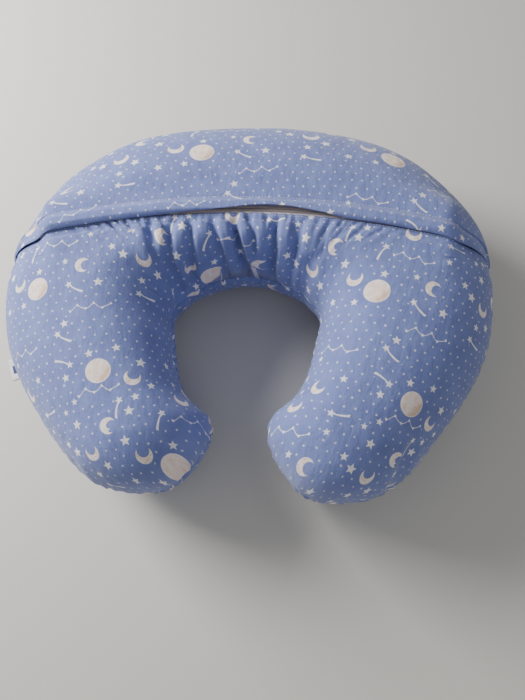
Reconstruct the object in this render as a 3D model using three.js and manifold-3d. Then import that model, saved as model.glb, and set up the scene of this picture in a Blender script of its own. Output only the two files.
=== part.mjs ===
// A C-shaped nursing pillow: a fibre-filled inner pillow inside a loose cotton cover.
// The cover closes with a zip across its upper face, under a lap of cloth.
// Millimetres, +X right, +Y towards the closed back of the C, +Z up from the resting plane.
// The origin is on the resting plane, under the middle of the closed back.
import * as THREE from "three";
import { mergeVertices } from "three/addons/utils/BufferGeometryUtils.js";
import Module from "manifold-3d";

const wasm = await Module();
wasm.setup();

// ---- Pillow, plan: the centreline is three arcs on each side of the symmetry plane ----
const BACK_RADIUS = 331;
const BACK_ANGLE = 15.3;
const CORNER_RADIUS = 106.4;
const CORNER_ANGLE = 98.1;
const LEG_RADIUS = 356;
const LEG_ANGLE = 27.8;
const EASE_LENGTH = 36; // over which one arc's curvature turns into the next one's
const TIP_LENGTH = 73; // rounded end of each leg
const TIP_POWER = 2.5;
// Half-widths on each side of the centreline, at these shares of its length
const STATIONS = [0, 0.3, 0.6, 0.85, 1];
const OUTER_HALF_WIDTHS = [116.8, 121.8, 94.5, 78.5, 54.5];
const INNER_HALF_WIDTHS = [64.5, 82.7, 78.7, 56.9, 74.1];

// ---- Pillow, section ----
const THICKNESS = 164;
const SETTLE = 4; // how far the underside is pressed flat by lying down
const SECTION_POWER = 2.25; // 2 is an ellipse, more is boxier

// ---- Cloth layers ----
const COVER_CLOTH = 1;
const CASING_CLOTH = 1;
const SEAM_GAP = 0.3;
const LAYER_GAP = 0.4;
const COVER_LOOSENESS = 4.4; // room under the upper face, for the zip

// ---- Zip: it lies on a level circular arc across the upper face ----
const ZIP_ARC_RADIUS = 906;
const ZIP_MIDDLE_Y = -22;
const ZIP_CHAIN_LENGTH = 364;
const ZIP_SINK = 2; // how far the level strip with the zip lies below the crown
const ZIP_LAND = 20; // level strip on each side of the zip
const ZIP_LAND_FADE = 60; // where the cover is back on its own shape
const ZIP_LAND_OVERRUN = 24; // level stretch past each end of the chain
const ZIP_LAND_SHOULDER = 26; // over which it then falls to the cover's own shape
const HEM_DIP = 1.6; // the hems lie lower than the cover around them
const HEM_DIP_START = 18;
const HEM_DIP_END = 15; // also the width of each tape, which is sewn on there
const HEM_DIP_RUNOUT = 0.5; // height over the seam, as a share, at which the dip is full
const UPPER_HEM = 6; // folded edges of the cover, from the middle of the zip
const LOWER_HEM = 8;
const TAPE_GAP = 0.3;
const TAPE_THICKNESS = 0.6;
const TAPE_INNER_EDGE = 1.1;
const COIL_HEIGHT = 2.2;
const COIL_INNER = 0.8;
const COIL_OUTER = 2.6;

// ---- Slider and pull tab ----
const SLIDER_LENGTH = 10;
const SLIDER_HALF_WIDTH = 4.9;
const SLIDER_PLATE = 1;
const SLIDER_CLEARANCE = 0.3;
const FLANGE_THICKNESS = 0.9;
const FLANGE_LIFT = 0.4;
const WEDGE_LENGTH = 3;
const WEDGE_HALF_WIDTH = 0.45;
const CROWN_LENGTH = 7;
const CROWN_HEIGHT = 3.2;
const CROWN_HALF_WIDTH = 1;
const CROWN_STRIP = 0.9;
const TAB_LENGTH = 22;
const TAB_HALF_WIDTH = 3;
const TAB_THICKNESS = 1.1;
const TAB_ARM = 1.4;
const TAB_BAR_RADIUS = 0.55;
const TAB_WINDOW = 4.7;
const STOP_LENGTH = 3;
const STOP_HEIGHT = 2.4;

// ---- Lap of cloth over the zip ----
const LAP_REACH = 4; // how far it passes the middle of the zip
const LAP_CLEARANCE = 0.5;
const LAP_SHOULDER_LIFT = 0.9; // it stands off the cover a little where that curves down
const LAP_OVERRUN = 12; // how far it runs past each end of the chain
const TOPSTITCH_OFFSET = 13.4;
const THREAD_RADIUS = 0.35;

// ---- Labels ----
const TAG_LENGTH = 25; // along the edge of the pillow
const TAG_REACH = 13;
const TAG_ROOT_THICKNESS = 0.5;
const TAG_FOLD_THICKNESS = 1.7;
const TAG_ROOT_GAP = 0.55;
const TAG_STATION = 0.595; // share of the centreline's length
const CARE_LABEL_STATION = 0.56;
const CARE_LABEL_WIDTH = 20;
const CARE_LABEL_THICKNESS = 0.4;

const COLOURS = {
  cotton: 0x7b8ec8,
  casing: 0xe9e6df,
  fibre: 0xf4f3ef,
  tape: 0xd8ccc8,
  coil: 0xd2c6c2,
  slider: 0xb9b9bd,
  thread: 0xe8e4ea,
  tag: 0xf3f1f4,
};

const radians = THREE.MathUtils.degToRad;
const smooth = (t) => THREE.MathUtils.smoothstep(t, 0, 1);
const HALF_THICKNESS = (THICKNESS + SETTLE) / 2;
const ZIP_LEVEL = THICKNESS - ZIP_SINK; // outer face of the cover beside the zip

// ---- Centreline ----

const ARCS = [
  { radius: BACK_RADIUS, length: BACK_RADIUS * radians(BACK_ANGLE) },
  { radius: CORNER_RADIUS, length: CORNER_RADIUS * radians(CORNER_ANGLE) },
  { radius: LEG_RADIUS, length: LEG_RADIUS * radians(LEG_ANGLE) },
];
const LENGTH = ARCS.reduce((sum, arc) => sum + arc.length, 0);

// Curvature at distance s from the middle of the back
function curvature(s) {
  let value = 1 / ARCS[0].radius;
  let end = 0;
  for (let i = 1; i < ARCS.length; i++) {
    end += ARCS[i - 1].length;
    const share = smooth((s - end) / EASE_LENGTH + 0.5);
    value += share * (1 / ARCS[i].radius - 1 / ARCS[i - 1].radius);
  }
  return value;
}

// Points of the centreline, a millimetre or less apart: {x, y, turn}
const TRACK_STEP = LENGTH / Math.ceil(LENGTH);
const TRACK = [{ x: 0, y: 0, turn: 0 }];
for (let i = 1; i <= Math.ceil(LENGTH); i++) {
  const last = TRACK[i - 1];
  const turn = last.turn + curvature((i - 0.5) * TRACK_STEP) * TRACK_STEP;
  const middle = (last.turn + turn) / 2;
  TRACK.push({
    x: last.x + Math.cos(middle) * TRACK_STEP,
    y: last.y - Math.sin(middle) * TRACK_STEP,
    turn,
  });
}

function track(s) {
  const place = THREE.MathUtils.clamp(s / TRACK_STEP, 0, TRACK.length - 1);
  const i = Math.min(Math.floor(place), TRACK.length - 2);
  const mix = (key) => THREE.MathUtils.lerp(TRACK[i][key], TRACK[i + 1][key], place - i);
  return { x: mix("x"), y: mix("y"), turn: mix("turn") };
}

// Smooth curve through the values at the stations, with no overshoot
function along(values, share) {
  const steps = STATIONS.slice(1).map((x, i) => x - STATIONS[i]);
  const rises = steps.map((h, i) => (values[i + 1] - values[i]) / h);
  const slopes = values.map((_, i) => {
    if (i === 0 || i === values.length - 1) return 0;
    const [before, after] = [rises[i - 1], rises[i]];
    return before * after > 0 ? (2 * before * after) / (before + after) : 0;
  });
  let i = 0;
  while (i < steps.length - 1 && share > STATIONS[i + 1]) i++;
  const h = steps[i];
  const t = THREE.MathUtils.clamp((share - STATIONS[i]) / h, 0, 1);
  const start = (1 + 2 * t) * (1 - t) ** 2 * values[i] + t * (1 - t) ** 2 * h * slopes[i];
  const end = t * t * (3 - 2 * t) * values[i + 1] - t * t * (1 - t) * h * slopes[i + 1];
  return start + end;
}

// ---- Outer face of the cover ----

const signedPower = (value, power) => Math.sign(value) * Math.abs(value) ** power;

// The rounded end of the leg: 1 along the leg, 0 at its tip
function tipShare(s) {
  const into = Math.max(0, (s - (LENGTH - TIP_LENGTH)) / TIP_LENGTH);
  return Math.max(0, 1 - into ** TIP_POWER) ** (1 / TIP_POWER);
}

// Station data at s, always on the right half; the left half is its mirror image
function station(s) {
  const { x, y, turn } = track(s);
  const tip = tipShare(s);
  return {
    x,
    y,
    turn,
    tip,
    outer: along(OUTER_HALF_WIDTHS, s / LENGTH) * tip,
    inner: along(INNER_HALF_WIDTHS, s / LENGTH) * tip,
  };
}

const ARC_CENTRE_Y = ZIP_MIDDLE_Y - ZIP_ARC_RADIUS;
const ZIP_HALF_ANGLE = ZIP_CHAIN_LENGTH / 2 / ZIP_ARC_RADIUS;
const LAND_ANGLE = ZIP_HALF_ANGLE + ZIP_LAND_OVERRUN / ZIP_ARC_RADIUS;
const SHOULDER_ANGLE = ZIP_LAND_SHOULDER / ZIP_ARC_RADIUS;

// Polar place about the zip's arc: angle from +Y, and offset outwards from the arc
function zipPolar(x, y) {
  return {
    angle: Math.atan2(x, y - ARC_CENTRE_Y),
    offset: Math.hypot(x, y - ARC_CENTRE_Y) - ZIP_ARC_RADIUS,
  };
}

const zipPoint = (angle, offset, z) =>
  new THREE.Vector3(
    (ZIP_ARC_RADIUS + offset) * Math.sin(angle),
    ARC_CENTRE_Y + (ZIP_ARC_RADIUS + offset) * Math.cos(angle),
    z,
  );

// 1 on the level strip that carries the zip, 0 where the cover is on its own shape
function landShare(x, y) {
  const { angle, offset } = zipPolar(x, y);
  const across = 1 - smooth((Math.abs(offset) - ZIP_LAND) / (ZIP_LAND_FADE - ZIP_LAND));
  return across * (1 - smooth((Math.abs(angle) - LAND_ANGLE) / SHOULDER_ANGLE));
}

// How far the hems lie below the face; the dip runs out towards the outer seam
function hemDip(point, v) {
  const { offset } = zipPolar(point.x, point.y);
  const across = smooth((HEM_DIP_START - Math.abs(offset)) / (HEM_DIP_START - HEM_DIP_END));
  return HEM_DIP * across * smooth(Math.sin(v) / HEM_DIP_RUNOUT);
}

// Point of the outer face: s is signed, v runs 0 (outer seam), pi/2 (top), pi (inner seam), 3pi/2
function facePoint(s, v) {
  const side = s < 0 ? -1 : 1;
  const at = station(Math.abs(s));
  const across = signedPower(Math.cos(v), 2 / SECTION_POWER);
  const up = signedPower(Math.sin(v), 2 / SECTION_POWER);
  const lateral = across * (across > 0 ? at.outer : at.inner);
  const x = side * (at.x + Math.sin(at.turn) * lateral);
  const y = at.y + Math.cos(at.turn) * lateral;
  let z = HALF_THICKNESS * (1 + at.tip * up) - SETTLE;
  if (v > 0 && v < Math.PI) z = THREE.MathUtils.lerp(z, ZIP_LEVEL, landShare(x, y));
  return new THREE.Vector3(x, y, z);
}

// Outward normal of the outer face
function faceNormal(s, v) {
  const side = s < 0 ? -1 : 1;
  const at = station(Math.abs(s));
  if (at.tip < 1e-6) return new THREE.Vector3(side * Math.cos(at.turn), -Math.sin(at.turn), 0);
  const ds = Math.min(0.5, (LENGTH - Math.abs(s)) / 2);
  const dv = 0.004;
  const alongS = facePoint(s + ds, v).sub(facePoint(s - ds, v));
  const alongV = facePoint(s, v + dv).sub(facePoint(s, v - dv));
  return alongV.cross(alongS).normalize();
}

// Section angle where a circle about the zip's centre, offset outwards, crosses station s
function angleAtOffset(s, offset) {
  const side = s < 0 ? -1 : 1;
  const at = station(Math.abs(s));
  const normal = new THREE.Vector2(side * Math.sin(at.turn), Math.cos(at.turn));
  const base = new THREE.Vector2(side * at.x, at.y - ARC_CENTRE_Y);
  const b = base.dot(normal);
  const c = base.lengthSq() - (ZIP_ARC_RADIUS + offset) ** 2;
  const root = b * b - c;
  if (root <= 0 || Math.cos(at.turn) <= 0.05) return 0;
  const lateral = -b + Math.sqrt(root);
  const reach = lateral > 0 ? at.outer : at.inner;
  const share = THREE.MathUtils.clamp(lateral / Math.max(reach, 1e-6), -1, 1);
  return Math.acos(signedPower(share, SECTION_POWER / 2));
}

// Last station from the back for which the test holds
function lastStation(holds) {
  let [low, high] = [0, LENGTH - TIP_LENGTH];
  for (let i = 0; i < 40; i++) {
    const middle = (low + high) / 2;
    if (holds(middle)) low = middle;
    else high = middle;
  }
  return low;
}

function zipAngleAt(s) {
  const point = facePoint(s, angleAtOffset(s, 0));
  return Math.abs(zipPolar(point.x, point.y).angle);
}

// Where the zip's arc meets the outer seam, beyond which there is no upper panel
const ZIP_END = lastStation((s) => angleAtOffset(s, 0) > 0);
// A column of the grid stands just past the zip's working length, still on the level strip
const LEVEL_END_ANGLE = ZIP_HALF_ANGLE + (ZIP_LAND_OVERRUN * 2) / 3 / ZIP_ARC_RADIUS;
const LEVEL_END = lastStation((s) => angleAtOffset(s, 0) > 0 && zipAngleAt(s) < LEVEL_END_ANGLE);

// ---- Grid that all the layers share ----

const COLUMNS_ON_LEVEL = 8;
const COLUMNS_ON_SHOULDER = 4;
const COLUMNS_ON_LEG = 5;
const COLUMNS_ON_TIP = 4;
const spread = (from, to, count) =>
  Array.from({ length: count + 1 }, (_, i) => from + ((to - from) * i) / count);
const TIP_START = LENGTH - TIP_LENGTH;
// Where the edge of the dip beside the zip meets the outer seam
const DIP_END = lastStation((s) => angleAtOffset(s, -HEM_DIP_START) > 0);
const RIGHT_COLUMNS = [
  ...spread(0, LEVEL_END, COLUMNS_ON_LEVEL),
  ...spread(LEVEL_END, ZIP_END, COLUMNS_ON_SHOULDER).slice(1),
  DIP_END,
  ...spread(DIP_END, TIP_START, COLUMNS_ON_LEG).slice(1),
  ...spread(0, Math.PI / 2, COLUMNS_ON_TIP)
    .slice(1)
    .map((angle) => TIP_START + TIP_LENGTH * Math.sin(angle) ** (2 / TIP_POWER)),
];
const COLUMNS = [...RIGHT_COLUMNS.slice(1).reverse().map((s) => -s), ...RIGHT_COLUMNS];

// The hems stand apart along the zip, and meet in a closed seam over the rest of each shoulder
const CLOSE_START = THREE.MathUtils.lerp(LEVEL_END, ZIP_END, 0.5);
function hemOffset(s, hem) {
  const closed = smooth((Math.abs(s) - CLOSE_START) / (ZIP_END - CLOSE_START));
  return THREE.MathUtils.lerp(hem, SEAM_GAP / 2, closed);
}

const OUTER_ROWS = 4;
const INNER_ROWS = 7;
const BASE_ROWS = 10;

// Rows of section angles from the outer seam to the upper hem, and from the lower hem to the inner seam
function upperPanelRows(s) {
  const start = angleAtOffset(s, HEM_DIP_START);
  const end = Math.max(start, angleAtOffset(s, HEM_DIP_END));
  const hem = Math.max(end, angleAtOffset(s, hemOffset(s, UPPER_HEM)));
  return [...spread(0, start, OUTER_ROWS), end, hem];
}
function lowerPanelRows(s) {
  const start = angleAtOffset(s, -HEM_DIP_START);
  const end = Math.min(start, angleAtOffset(s, -HEM_DIP_END));
  const hem = Math.min(end, angleAtOffset(s, -hemOffset(s, LOWER_HEM)));
  return [hem, end, ...spread(start, Math.PI, INNER_ROWS)];
}
// The inner layers never have rows that the layer over them lacks, so no chord cuts into them
const casingRows = (s) => [...upperPanelRows(s), ...lowerPanelRows(s)];
function fillingRows(s) {
  return [
    ...spread(0, angleAtOffset(s, HEM_DIP_START), OUTER_ROWS),
    ...spread(angleAtOffset(s, -HEM_DIP_START), Math.PI, INNER_ROWS),
    ...baseRows().slice(1),
  ];
}
const baseRows = () => spread(Math.PI, 2 * Math.PI, BASE_ROWS);

// Depth of the casing below the outer face: close at the seams and below, loose under the upper face
function casingDepth(v) {
  const loose = v < Math.PI ? smooth(Math.sin(v) / 0.6) : 0;
  return COVER_CLOTH + THREE.MathUtils.lerp(LAYER_GAP, COVER_LOOSENESS, loose);
}
const fillingDepth = (v) => casingDepth(v) + CASING_CLOTH + SEAM_GAP;

// ---- Solids from grids of points ----

function gridLayer(columns, rowsAt, depthAt, { dipped = false, lift = 0 } = {}) {
  return columns.map((s) =>
    rowsAt(s).map((v) => {
      const point = facePoint(s, v);
      const depth = depthAt(v) + (dipped ? hemDip(point, v) : 0);
      point.addScaledVector(faceNormal(s, v), -depth);
      point.z = Math.max(point.z + lift, depth);
      return point;
    }),
  );
}

class Surface {
  constructor() {
    this.positions = [];
  }
  triangle(a, b, c) {
    const same = (p, q) => p.distanceToSquared(q) < 1e-7;
    if (same(a, b) || same(b, c) || same(c, a)) return;
    for (const p of [a, b, c]) this.positions.push(p.x, p.y, p.z);
  }
  quad(a, b, c, d) {
    this.triangle(a, b, c);
    this.triangle(a, c, d);
  }
  // Each quad is cut along the diagonal that runs from the outer seam towards the nearer leg tip,
  // so the two halves mirror each other and every layer is cut the same way
  grid(points, outwards = true) {
    const middle = (points.length - 1) / 2;
    for (let i = 0; i + 1 < points.length; i++)
      for (let j = 0; j + 1 < points[i].length; j++) {
        const [a, b] = [points[i][j], points[i][j + 1]];
        const [c, d] = [points[i + 1][j + 1], points[i + 1][j]];
        const halves = i < middle ? [[a, b, c], [a, c, d]] : [[b, c, d], [b, d, a]];
        for (const [p, q, r] of halves) {
          if (outwards) this.triangle(p, q, r);
          else this.triangle(p, r, q);
        }
      }
  }
  geometry() {
    const geometry = new THREE.BufferGeometry();
    geometry.setAttribute("position", new THREE.Float32BufferAttribute(this.positions, 3));
    const merged = mergeVertices(geometry, 1e-4);
    merged.computeVertexNormals();
    return merged;
  }
}

// A sheet of cloth between an outer and an inner grid, closed round its edges
function sheet(outer, inner) {
  const surface = new Surface();
  surface.grid(outer);
  surface.grid(inner, false);
  const last = outer.length - 1;
  const edge = outer[0].length - 1;
  for (let i = 0; i < last; i++) {
    surface.quad(outer[i][0], outer[i + 1][0], inner[i + 1][0], inner[i][0]);
    surface.quad(outer[i + 1][edge], outer[i][edge], inner[i][edge], inner[i + 1][edge]);
  }
  for (let j = 0; j < edge; j++) {
    surface.quad(outer[0][j + 1], outer[0][j], inner[0][j], inner[0][j + 1]);
    surface.quad(outer[last][j], outer[last][j + 1], inner[last][j + 1], inner[last][j]);
  }
  return surface.geometry();
}

// A solid of one closed section swept along the zip's arc; section points are [offset, z]
function sweepOnZip(section, fromAngle, toAngle, steps) {
  const surface = new Surface();
  const rings = spread(fromAngle, toAngle, steps).map((angle) =>
    section.map(([offset, z]) => zipPoint(angle, offset, z)),
  );
  const count = rings[0].length;
  for (let i = 0; i < steps; i++)
    for (let j = 0; j < count; j++) {
      const k = (j + 1) % count;
      surface.quad(rings[i][j], rings[i + 1][j], rings[i + 1][k], rings[i][k]);
    }
  for (let j = 1; j + 1 < count; j++) {
    surface.triangle(rings[0][0], rings[0][j], rings[0][j + 1]);
    surface.triangle(rings[steps][0], rings[steps][j + 1], rings[steps][j]);
  }
  return surface.geometry();
}

const rectangle = (low, high, bottom, top) => [
  [low, bottom],
  [low, top],
  [high, top],
  [high, bottom],
];

// ---- Assembly ----

const pillow = new THREE.Group();
pillow.name = "nursing_pillow";

function add(name, geometry, color, roughness = 0.9, metalness = 0) {
  const mesh = new THREE.Mesh(
    geometry,
    new THREE.MeshStandardMaterial({ color, roughness, metalness }),
  );
  mesh.name = name;
  pillow.add(mesh);
  return mesh;
}

// ---- Cover and inner pillow ----

const HALF_SEAM = SEAM_GAP / 2;
const flat = (depth) => () => depth;

function clothSheet(name, columns, rowsAt, outerDepth, thickness, lift, dipped, color) {
  const innerDepth = (v) => outerDepth(v) + thickness;
  const outer = gridLayer(columns, rowsAt, outerDepth, { dipped, lift });
  const inner = gridLayer(columns, rowsAt, innerDepth, { dipped, lift });
  add(name, sheet(outer, inner), color);
}

const UPPER_COLUMNS = COLUMNS.filter((s) => Math.abs(s) < ZIP_END + 1e-6);
clothSheet(
  "cover_upper_panel",
  UPPER_COLUMNS,
  upperPanelRows,
  flat(0),
  COVER_CLOTH,
  HALF_SEAM,
  true,
  COLOURS.cotton,
);
clothSheet(
  "cover_lower_panel",
  COLUMNS,
  lowerPanelRows,
  flat(0),
  COVER_CLOTH,
  HALF_SEAM,
  true,
  COLOURS.cotton,
);
clothSheet(
  "cover_base_panel",
  COLUMNS,
  baseRows,
  flat(0),
  COVER_CLOTH,
  -HALF_SEAM,
  false,
  COLOURS.cotton,
);
clothSheet(
  "inner_casing_top",
  COLUMNS,
  casingRows,
  casingDepth,
  CASING_CLOTH,
  HALF_SEAM,
  false,
  COLOURS.casing,
);
clothSheet(
  "inner_casing_base",
  COLUMNS,
  baseRows,
  casingDepth,
  CASING_CLOTH,
  -HALF_SEAM,
  false,
  COLOURS.casing,
);

function fibreFilling() {
  const surface = new Surface();
  surface.grid(gridLayer(COLUMNS, fillingRows, fillingDepth));
  return surface.geometry();
}
add("fibre_filling", fibreFilling(), COLOURS.fibre);

// ---- Zip ----

const HEM_TOP = ZIP_LEVEL - HEM_DIP;
const TAPE_TOP = HEM_TOP - COVER_CLOTH - TAPE_GAP;
const TAPE_BOTTOM = TAPE_TOP - TAPE_THICKNESS;
const COIL_BOTTOM = TAPE_TOP + SLIDER_CLEARANCE;
const COIL_TOP = COIL_BOTTOM + COIL_HEIGHT;
const ZIP_STEPS = 24;
const mirrored = (section) => section.map(([offset, z]) => [-offset, z]).reverse();

// The tapes run over both shoulders, on the rows of the hems that they are sewn to, and end in the
// closed seam just short of the side seams
const TAPE_COLUMNS = COLUMNS.filter((s) => Math.abs(s) < CLOSE_START + 1e-6);

function tape(name, offsets) {
  const rowsAt = (s) => offsets.map((offset) => angleAtOffset(s, offset));
  const top = flat(COVER_CLOTH + TAPE_GAP);
  clothSheet(name, TAPE_COLUMNS, rowsAt, top, TAPE_THICKNESS, 0, true, COLOURS.tape);
}
tape("zip_tape_upper", [HEM_DIP_END, UPPER_HEM, TAPE_INNER_EDGE]);
tape("zip_tape_lower", [-TAPE_INNER_EDGE, -LOWER_HEM, -HEM_DIP_END]);

const coilSection = [
  [COIL_INNER, COIL_BOTTOM + 0.5],
  [COIL_INNER, COIL_TOP - 0.5],
  [COIL_INNER + 0.5, COIL_TOP],
  [COIL_OUTER - 0.5, COIL_TOP],
  [COIL_OUTER, COIL_TOP - 0.5],
  [COIL_OUTER, COIL_BOTTOM + 0.5],
  [COIL_OUTER - 0.5, COIL_BOTTOM],
  [COIL_INNER + 0.5, COIL_BOTTOM],
];

function coil(name, section) {
  const geometry = sweepOnZip(section, -ZIP_HALF_ANGLE, ZIP_HALF_ANGLE, ZIP_STEPS);
  add(name, geometry, COLOURS.coil, 0.4);
}
coil("zip_coil_upper", coilSection);
coil("zip_coil_lower", mirrored(coilSection));

// Stops just past the ends of the chain: one on each tape at the closed end, one across both at the other
const STOP_START = ZIP_HALF_ANGLE + SLIDER_CLEARANCE / ZIP_ARC_RADIUS;
const STOP_END = STOP_START + STOP_LENGTH / ZIP_ARC_RADIUS;
const stopSection = rectangle(COIL_INNER, COIL_OUTER, COIL_BOTTOM, COIL_BOTTOM + STOP_HEIGHT);
const bottomStop = rectangle(-COIL_OUTER, COIL_OUTER, COIL_BOTTOM, COIL_BOTTOM + STOP_HEIGHT);

function zipStop(name, section, from, to) {
  add(name, sweepOnZip(section, from, to, 1), COLOURS.slider, 0.35, 0.9);
}
zipStop("zip_top_stop_upper", stopSection, -STOP_END, -STOP_START);
zipStop("zip_top_stop_lower", mirrored(stopSection), -STOP_END, -STOP_START);
zipStop("zip_bottom_stop", bottomStop, STOP_START, STOP_END);

// ---- Slider: x runs along the chain, y across it, z up; it is parked at the closed end ----

const SLIDER_TOP_FACE = COIL_TOP + SLIDER_CLEARANCE + SLIDER_PLATE;
const SLIDER_PARK_ANGLE = -(ZIP_HALF_ANGLE - (SLIDER_LENGTH / 2 + 0.5) / ZIP_ARC_RADIUS);

function placeOnZip(mesh, angle) {
  mesh.position.copy(zipPoint(angle, 0, 0));
  mesh.rotation.z = -angle;
}

function solid(geometry) {
  const bare = geometry.clone();
  bare.deleteAttribute("normal");
  bare.deleteAttribute("uv");
  const merged = mergeVertices(bare, 1e-4);
  return new wasm.Manifold(
    new wasm.Mesh({
      numProp: 3,
      vertProperties: merged.attributes.position.array,
      triVerts: new Uint32Array(merged.index.array),
    }),
  );
}

function geometryOf(manifold) {
  const { vertProperties, triVerts } = manifold.getMesh();
  const geometry = new THREE.BufferGeometry();
  geometry.setAttribute("position", new THREE.Float32BufferAttribute(vertProperties, 3));
  geometry.setIndex(Array.from(triVerts));
  geometry.computeVertexNormals();
  return geometry;
}

function boxBetween(x0, x1, y0, y1, z0, z1) {
  const box = new THREE.BoxGeometry(x1 - x0, y1 - y0, z1 - z0);
  return box.translate((x0 + x1) / 2, (y0 + y1) / 2, (z0 + z1) / 2);
}

// Plan outline with rounded corners, extruded upwards
function roundedOutline(x0, x1, halfWidth, radius) {
  const shape = new THREE.Shape();
  shape.absarc(x1 - radius, halfWidth - radius, radius, 0, Math.PI / 2);
  shape.absarc(x0 + radius, halfWidth - radius, radius, Math.PI / 2, Math.PI);
  shape.absarc(x0 + radius, radius - halfWidth, radius, Math.PI, Math.PI * 1.5);
  shape.absarc(x1 - radius, radius - halfWidth, radius, Math.PI * 1.5, Math.PI * 2);
  return shape;
}

function plate(bottom, top) {
  const outline = roundedOutline(-SLIDER_LENGTH / 2, SLIDER_LENGTH / 2, SLIDER_HALF_WIDTH, 1.4);
  const settings = { depth: top - bottom, bevelEnabled: false, curveSegments: 3 };
  return new THREE.ExtrudeGeometry(outline, settings).translate(0, 0, bottom);
}

function sliderBody() {
  const half = SLIDER_LENGTH / 2;
  const lowerTop = TAPE_BOTTOM - SLIDER_CLEARANCE;
  const lower = solid(plate(lowerTop - SLIDER_PLATE, lowerTop));
  const upperBottom = SLIDER_TOP_FACE - SLIDER_PLATE;
  const upper = solid(plate(upperBottom, SLIDER_TOP_FACE));
  const wedgeBottom = lowerTop - SLIDER_PLATE / 2;
  const wedge = solid(
    boxBetween(
      -half + 0.4,
      -half + 0.4 + WEDGE_LENGTH,
      -WEDGE_HALF_WIDTH,
      WEDGE_HALF_WIDTH,
      wedgeBottom,
      upperBottom + SLIDER_PLATE / 2,
    ),
  );
  let body = lower.add(upper).add(wedge);
  for (const side of [-1, 1]) {
    const middle = side * (SLIDER_HALF_WIDTH - FLANGE_THICKNESS / 2);
    const flange = boxBetween(
      -half + 1.4,
      half - 1.4,
      middle - FLANGE_THICKNESS / 2,
      middle + FLANGE_THICKNESS / 2,
      TAPE_TOP + FLANGE_LIFT,
      upperBottom + SLIDER_PLATE / 2,
    );
    body = body.add(solid(flange));
  }
  return geometryOf(body.add(solid(crown())));
}

// The arched strip on top that holds the pull tab
function crown() {
  const half = CROWN_LENGTH / 2;
  const [floor, top] = [SLIDER_TOP_FACE - SLIDER_PLATE / 2, SLIDER_TOP_FACE + CROWN_HEIGHT];
  const outer = new THREE.Shape();
  outer.moveTo(-half, floor);
  outer.lineTo(half, floor);
  outer.lineTo(half, top - 1.2);
  outer.lineTo(half - 1.2, top);
  outer.lineTo(1.2 - half, top);
  outer.lineTo(-half, top - 1.2);
  const hole = new THREE.Path();
  const inside = half - CROWN_STRIP;
  hole.moveTo(-inside, SLIDER_TOP_FACE);
  hole.lineTo(-inside, top - 1.5);
  hole.lineTo(0.6 - inside, top - CROWN_STRIP);
  hole.lineTo(inside - 0.6, top - CROWN_STRIP);
  hole.lineTo(inside, top - 1.5);
  hole.lineTo(inside, SLIDER_TOP_FACE);
  outer.holes.push(hole);
  const strip = new THREE.ExtrudeGeometry(outer, {
    depth: 2 * CROWN_HALF_WIDTH,
    bevelEnabled: false,
  });
  return strip.rotateX(Math.PI / 2).translate(0, CROWN_HALF_WIDTH, 0);
}
placeOnZip(add("zip_slider_body", sliderBody(), COLOURS.slider, 0.35, 0.9), SLIDER_PARK_ANGLE);

// The tab lies back over the closed chain; its end bar passes under the crown
const TAB_PIVOT_Z = SLIDER_TOP_FACE + (CROWN_HEIGHT - CROWN_STRIP) / 2;

function pullTab() {
  const outline = roundedOutline(-TAB_BAR_RADIUS, TAB_LENGTH, TAB_HALF_WIDTH, 0.5);
  const opening = new THREE.Path();
  const inside = TAB_HALF_WIDTH - TAB_ARM;
  opening.moveTo(TAB_BAR_RADIUS, -inside);
  opening.lineTo(TAB_BAR_RADIUS, inside);
  opening.lineTo(TAB_WINDOW, inside);
  opening.lineTo(TAB_WINDOW, -inside);
  outline.holes.push(opening);
  const grip = new THREE.Path();
  grip.absellipse(TAB_LENGTH - 5, 0, 2.6, 1.3, 0, Math.PI * 2);
  outline.holes.push(grip);
  const settings = { depth: TAB_THICKNESS, bevelEnabled: false, curveSegments: 4 };
  return new THREE.ExtrudeGeometry(outline, settings);
}
const tab = add("zip_pull_tab", pullTab(), COLOURS.slider, 0.35, 0.9);
placeOnZip(tab, SLIDER_PARK_ANGLE);
tab.position.z = TAB_PIVOT_Z - TAB_THICKNESS / 2;

// ---- Lap over the zip, and the row of stitches that holds it ----

const LAP_GAP = 0.35;
const LAP_RISE = SLIDER_TOP_FACE + CROWN_HEIGHT + LAP_CLEARANCE - HEM_TOP - LAP_GAP;
const LAP_SLOPE_START = 13;
const LAP_SLOPE_END = 1.4;
const LAP_ROWS = [HEM_DIP_END, TOPSTITCH_OFFSET, 11, 8.5, UPPER_HEM, 3.6, LAP_SLOPE_END, -LAP_REACH];
const LAP_HIGH_ANGLE = ZIP_HALF_ANGLE + 2 / ZIP_ARC_RADIUS;
const LAP_HIGH_END = lastStation((s) => angleAtOffset(s, 0) > 0 && zipAngleAt(s) < LAP_HIGH_ANGLE);
const LAP_RIGHT_COLUMNS = [
  ...spread(0, LAP_HIGH_END, 10),
  ...RIGHT_COLUMNS.filter((s) => s > LAP_HIGH_END && s < ZIP_END - 1e-6),
];
const LAP_COLUMNS = [...LAP_RIGHT_COLUMNS.slice(1).reverse().map((s) => -s), ...LAP_RIGHT_COLUMNS];

// Height of the lap's underside over the hems: it rises over the slider's path, and comes down
// past the ends of the chain
function lapHeight(s, offset) {
  const across = smooth((LAP_SLOPE_START - offset) / (LAP_SLOPE_START - LAP_SLOPE_END));
  const beyond = (zipAngleAt(Math.abs(s)) - LAP_HIGH_ANGLE) * ZIP_ARC_RADIUS;
  const down = smooth(beyond / LAP_OVERRUN);
  return LAP_GAP + LAP_RISE * across * (1 - down) + LAP_SHOULDER_LIFT * down;
}

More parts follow.
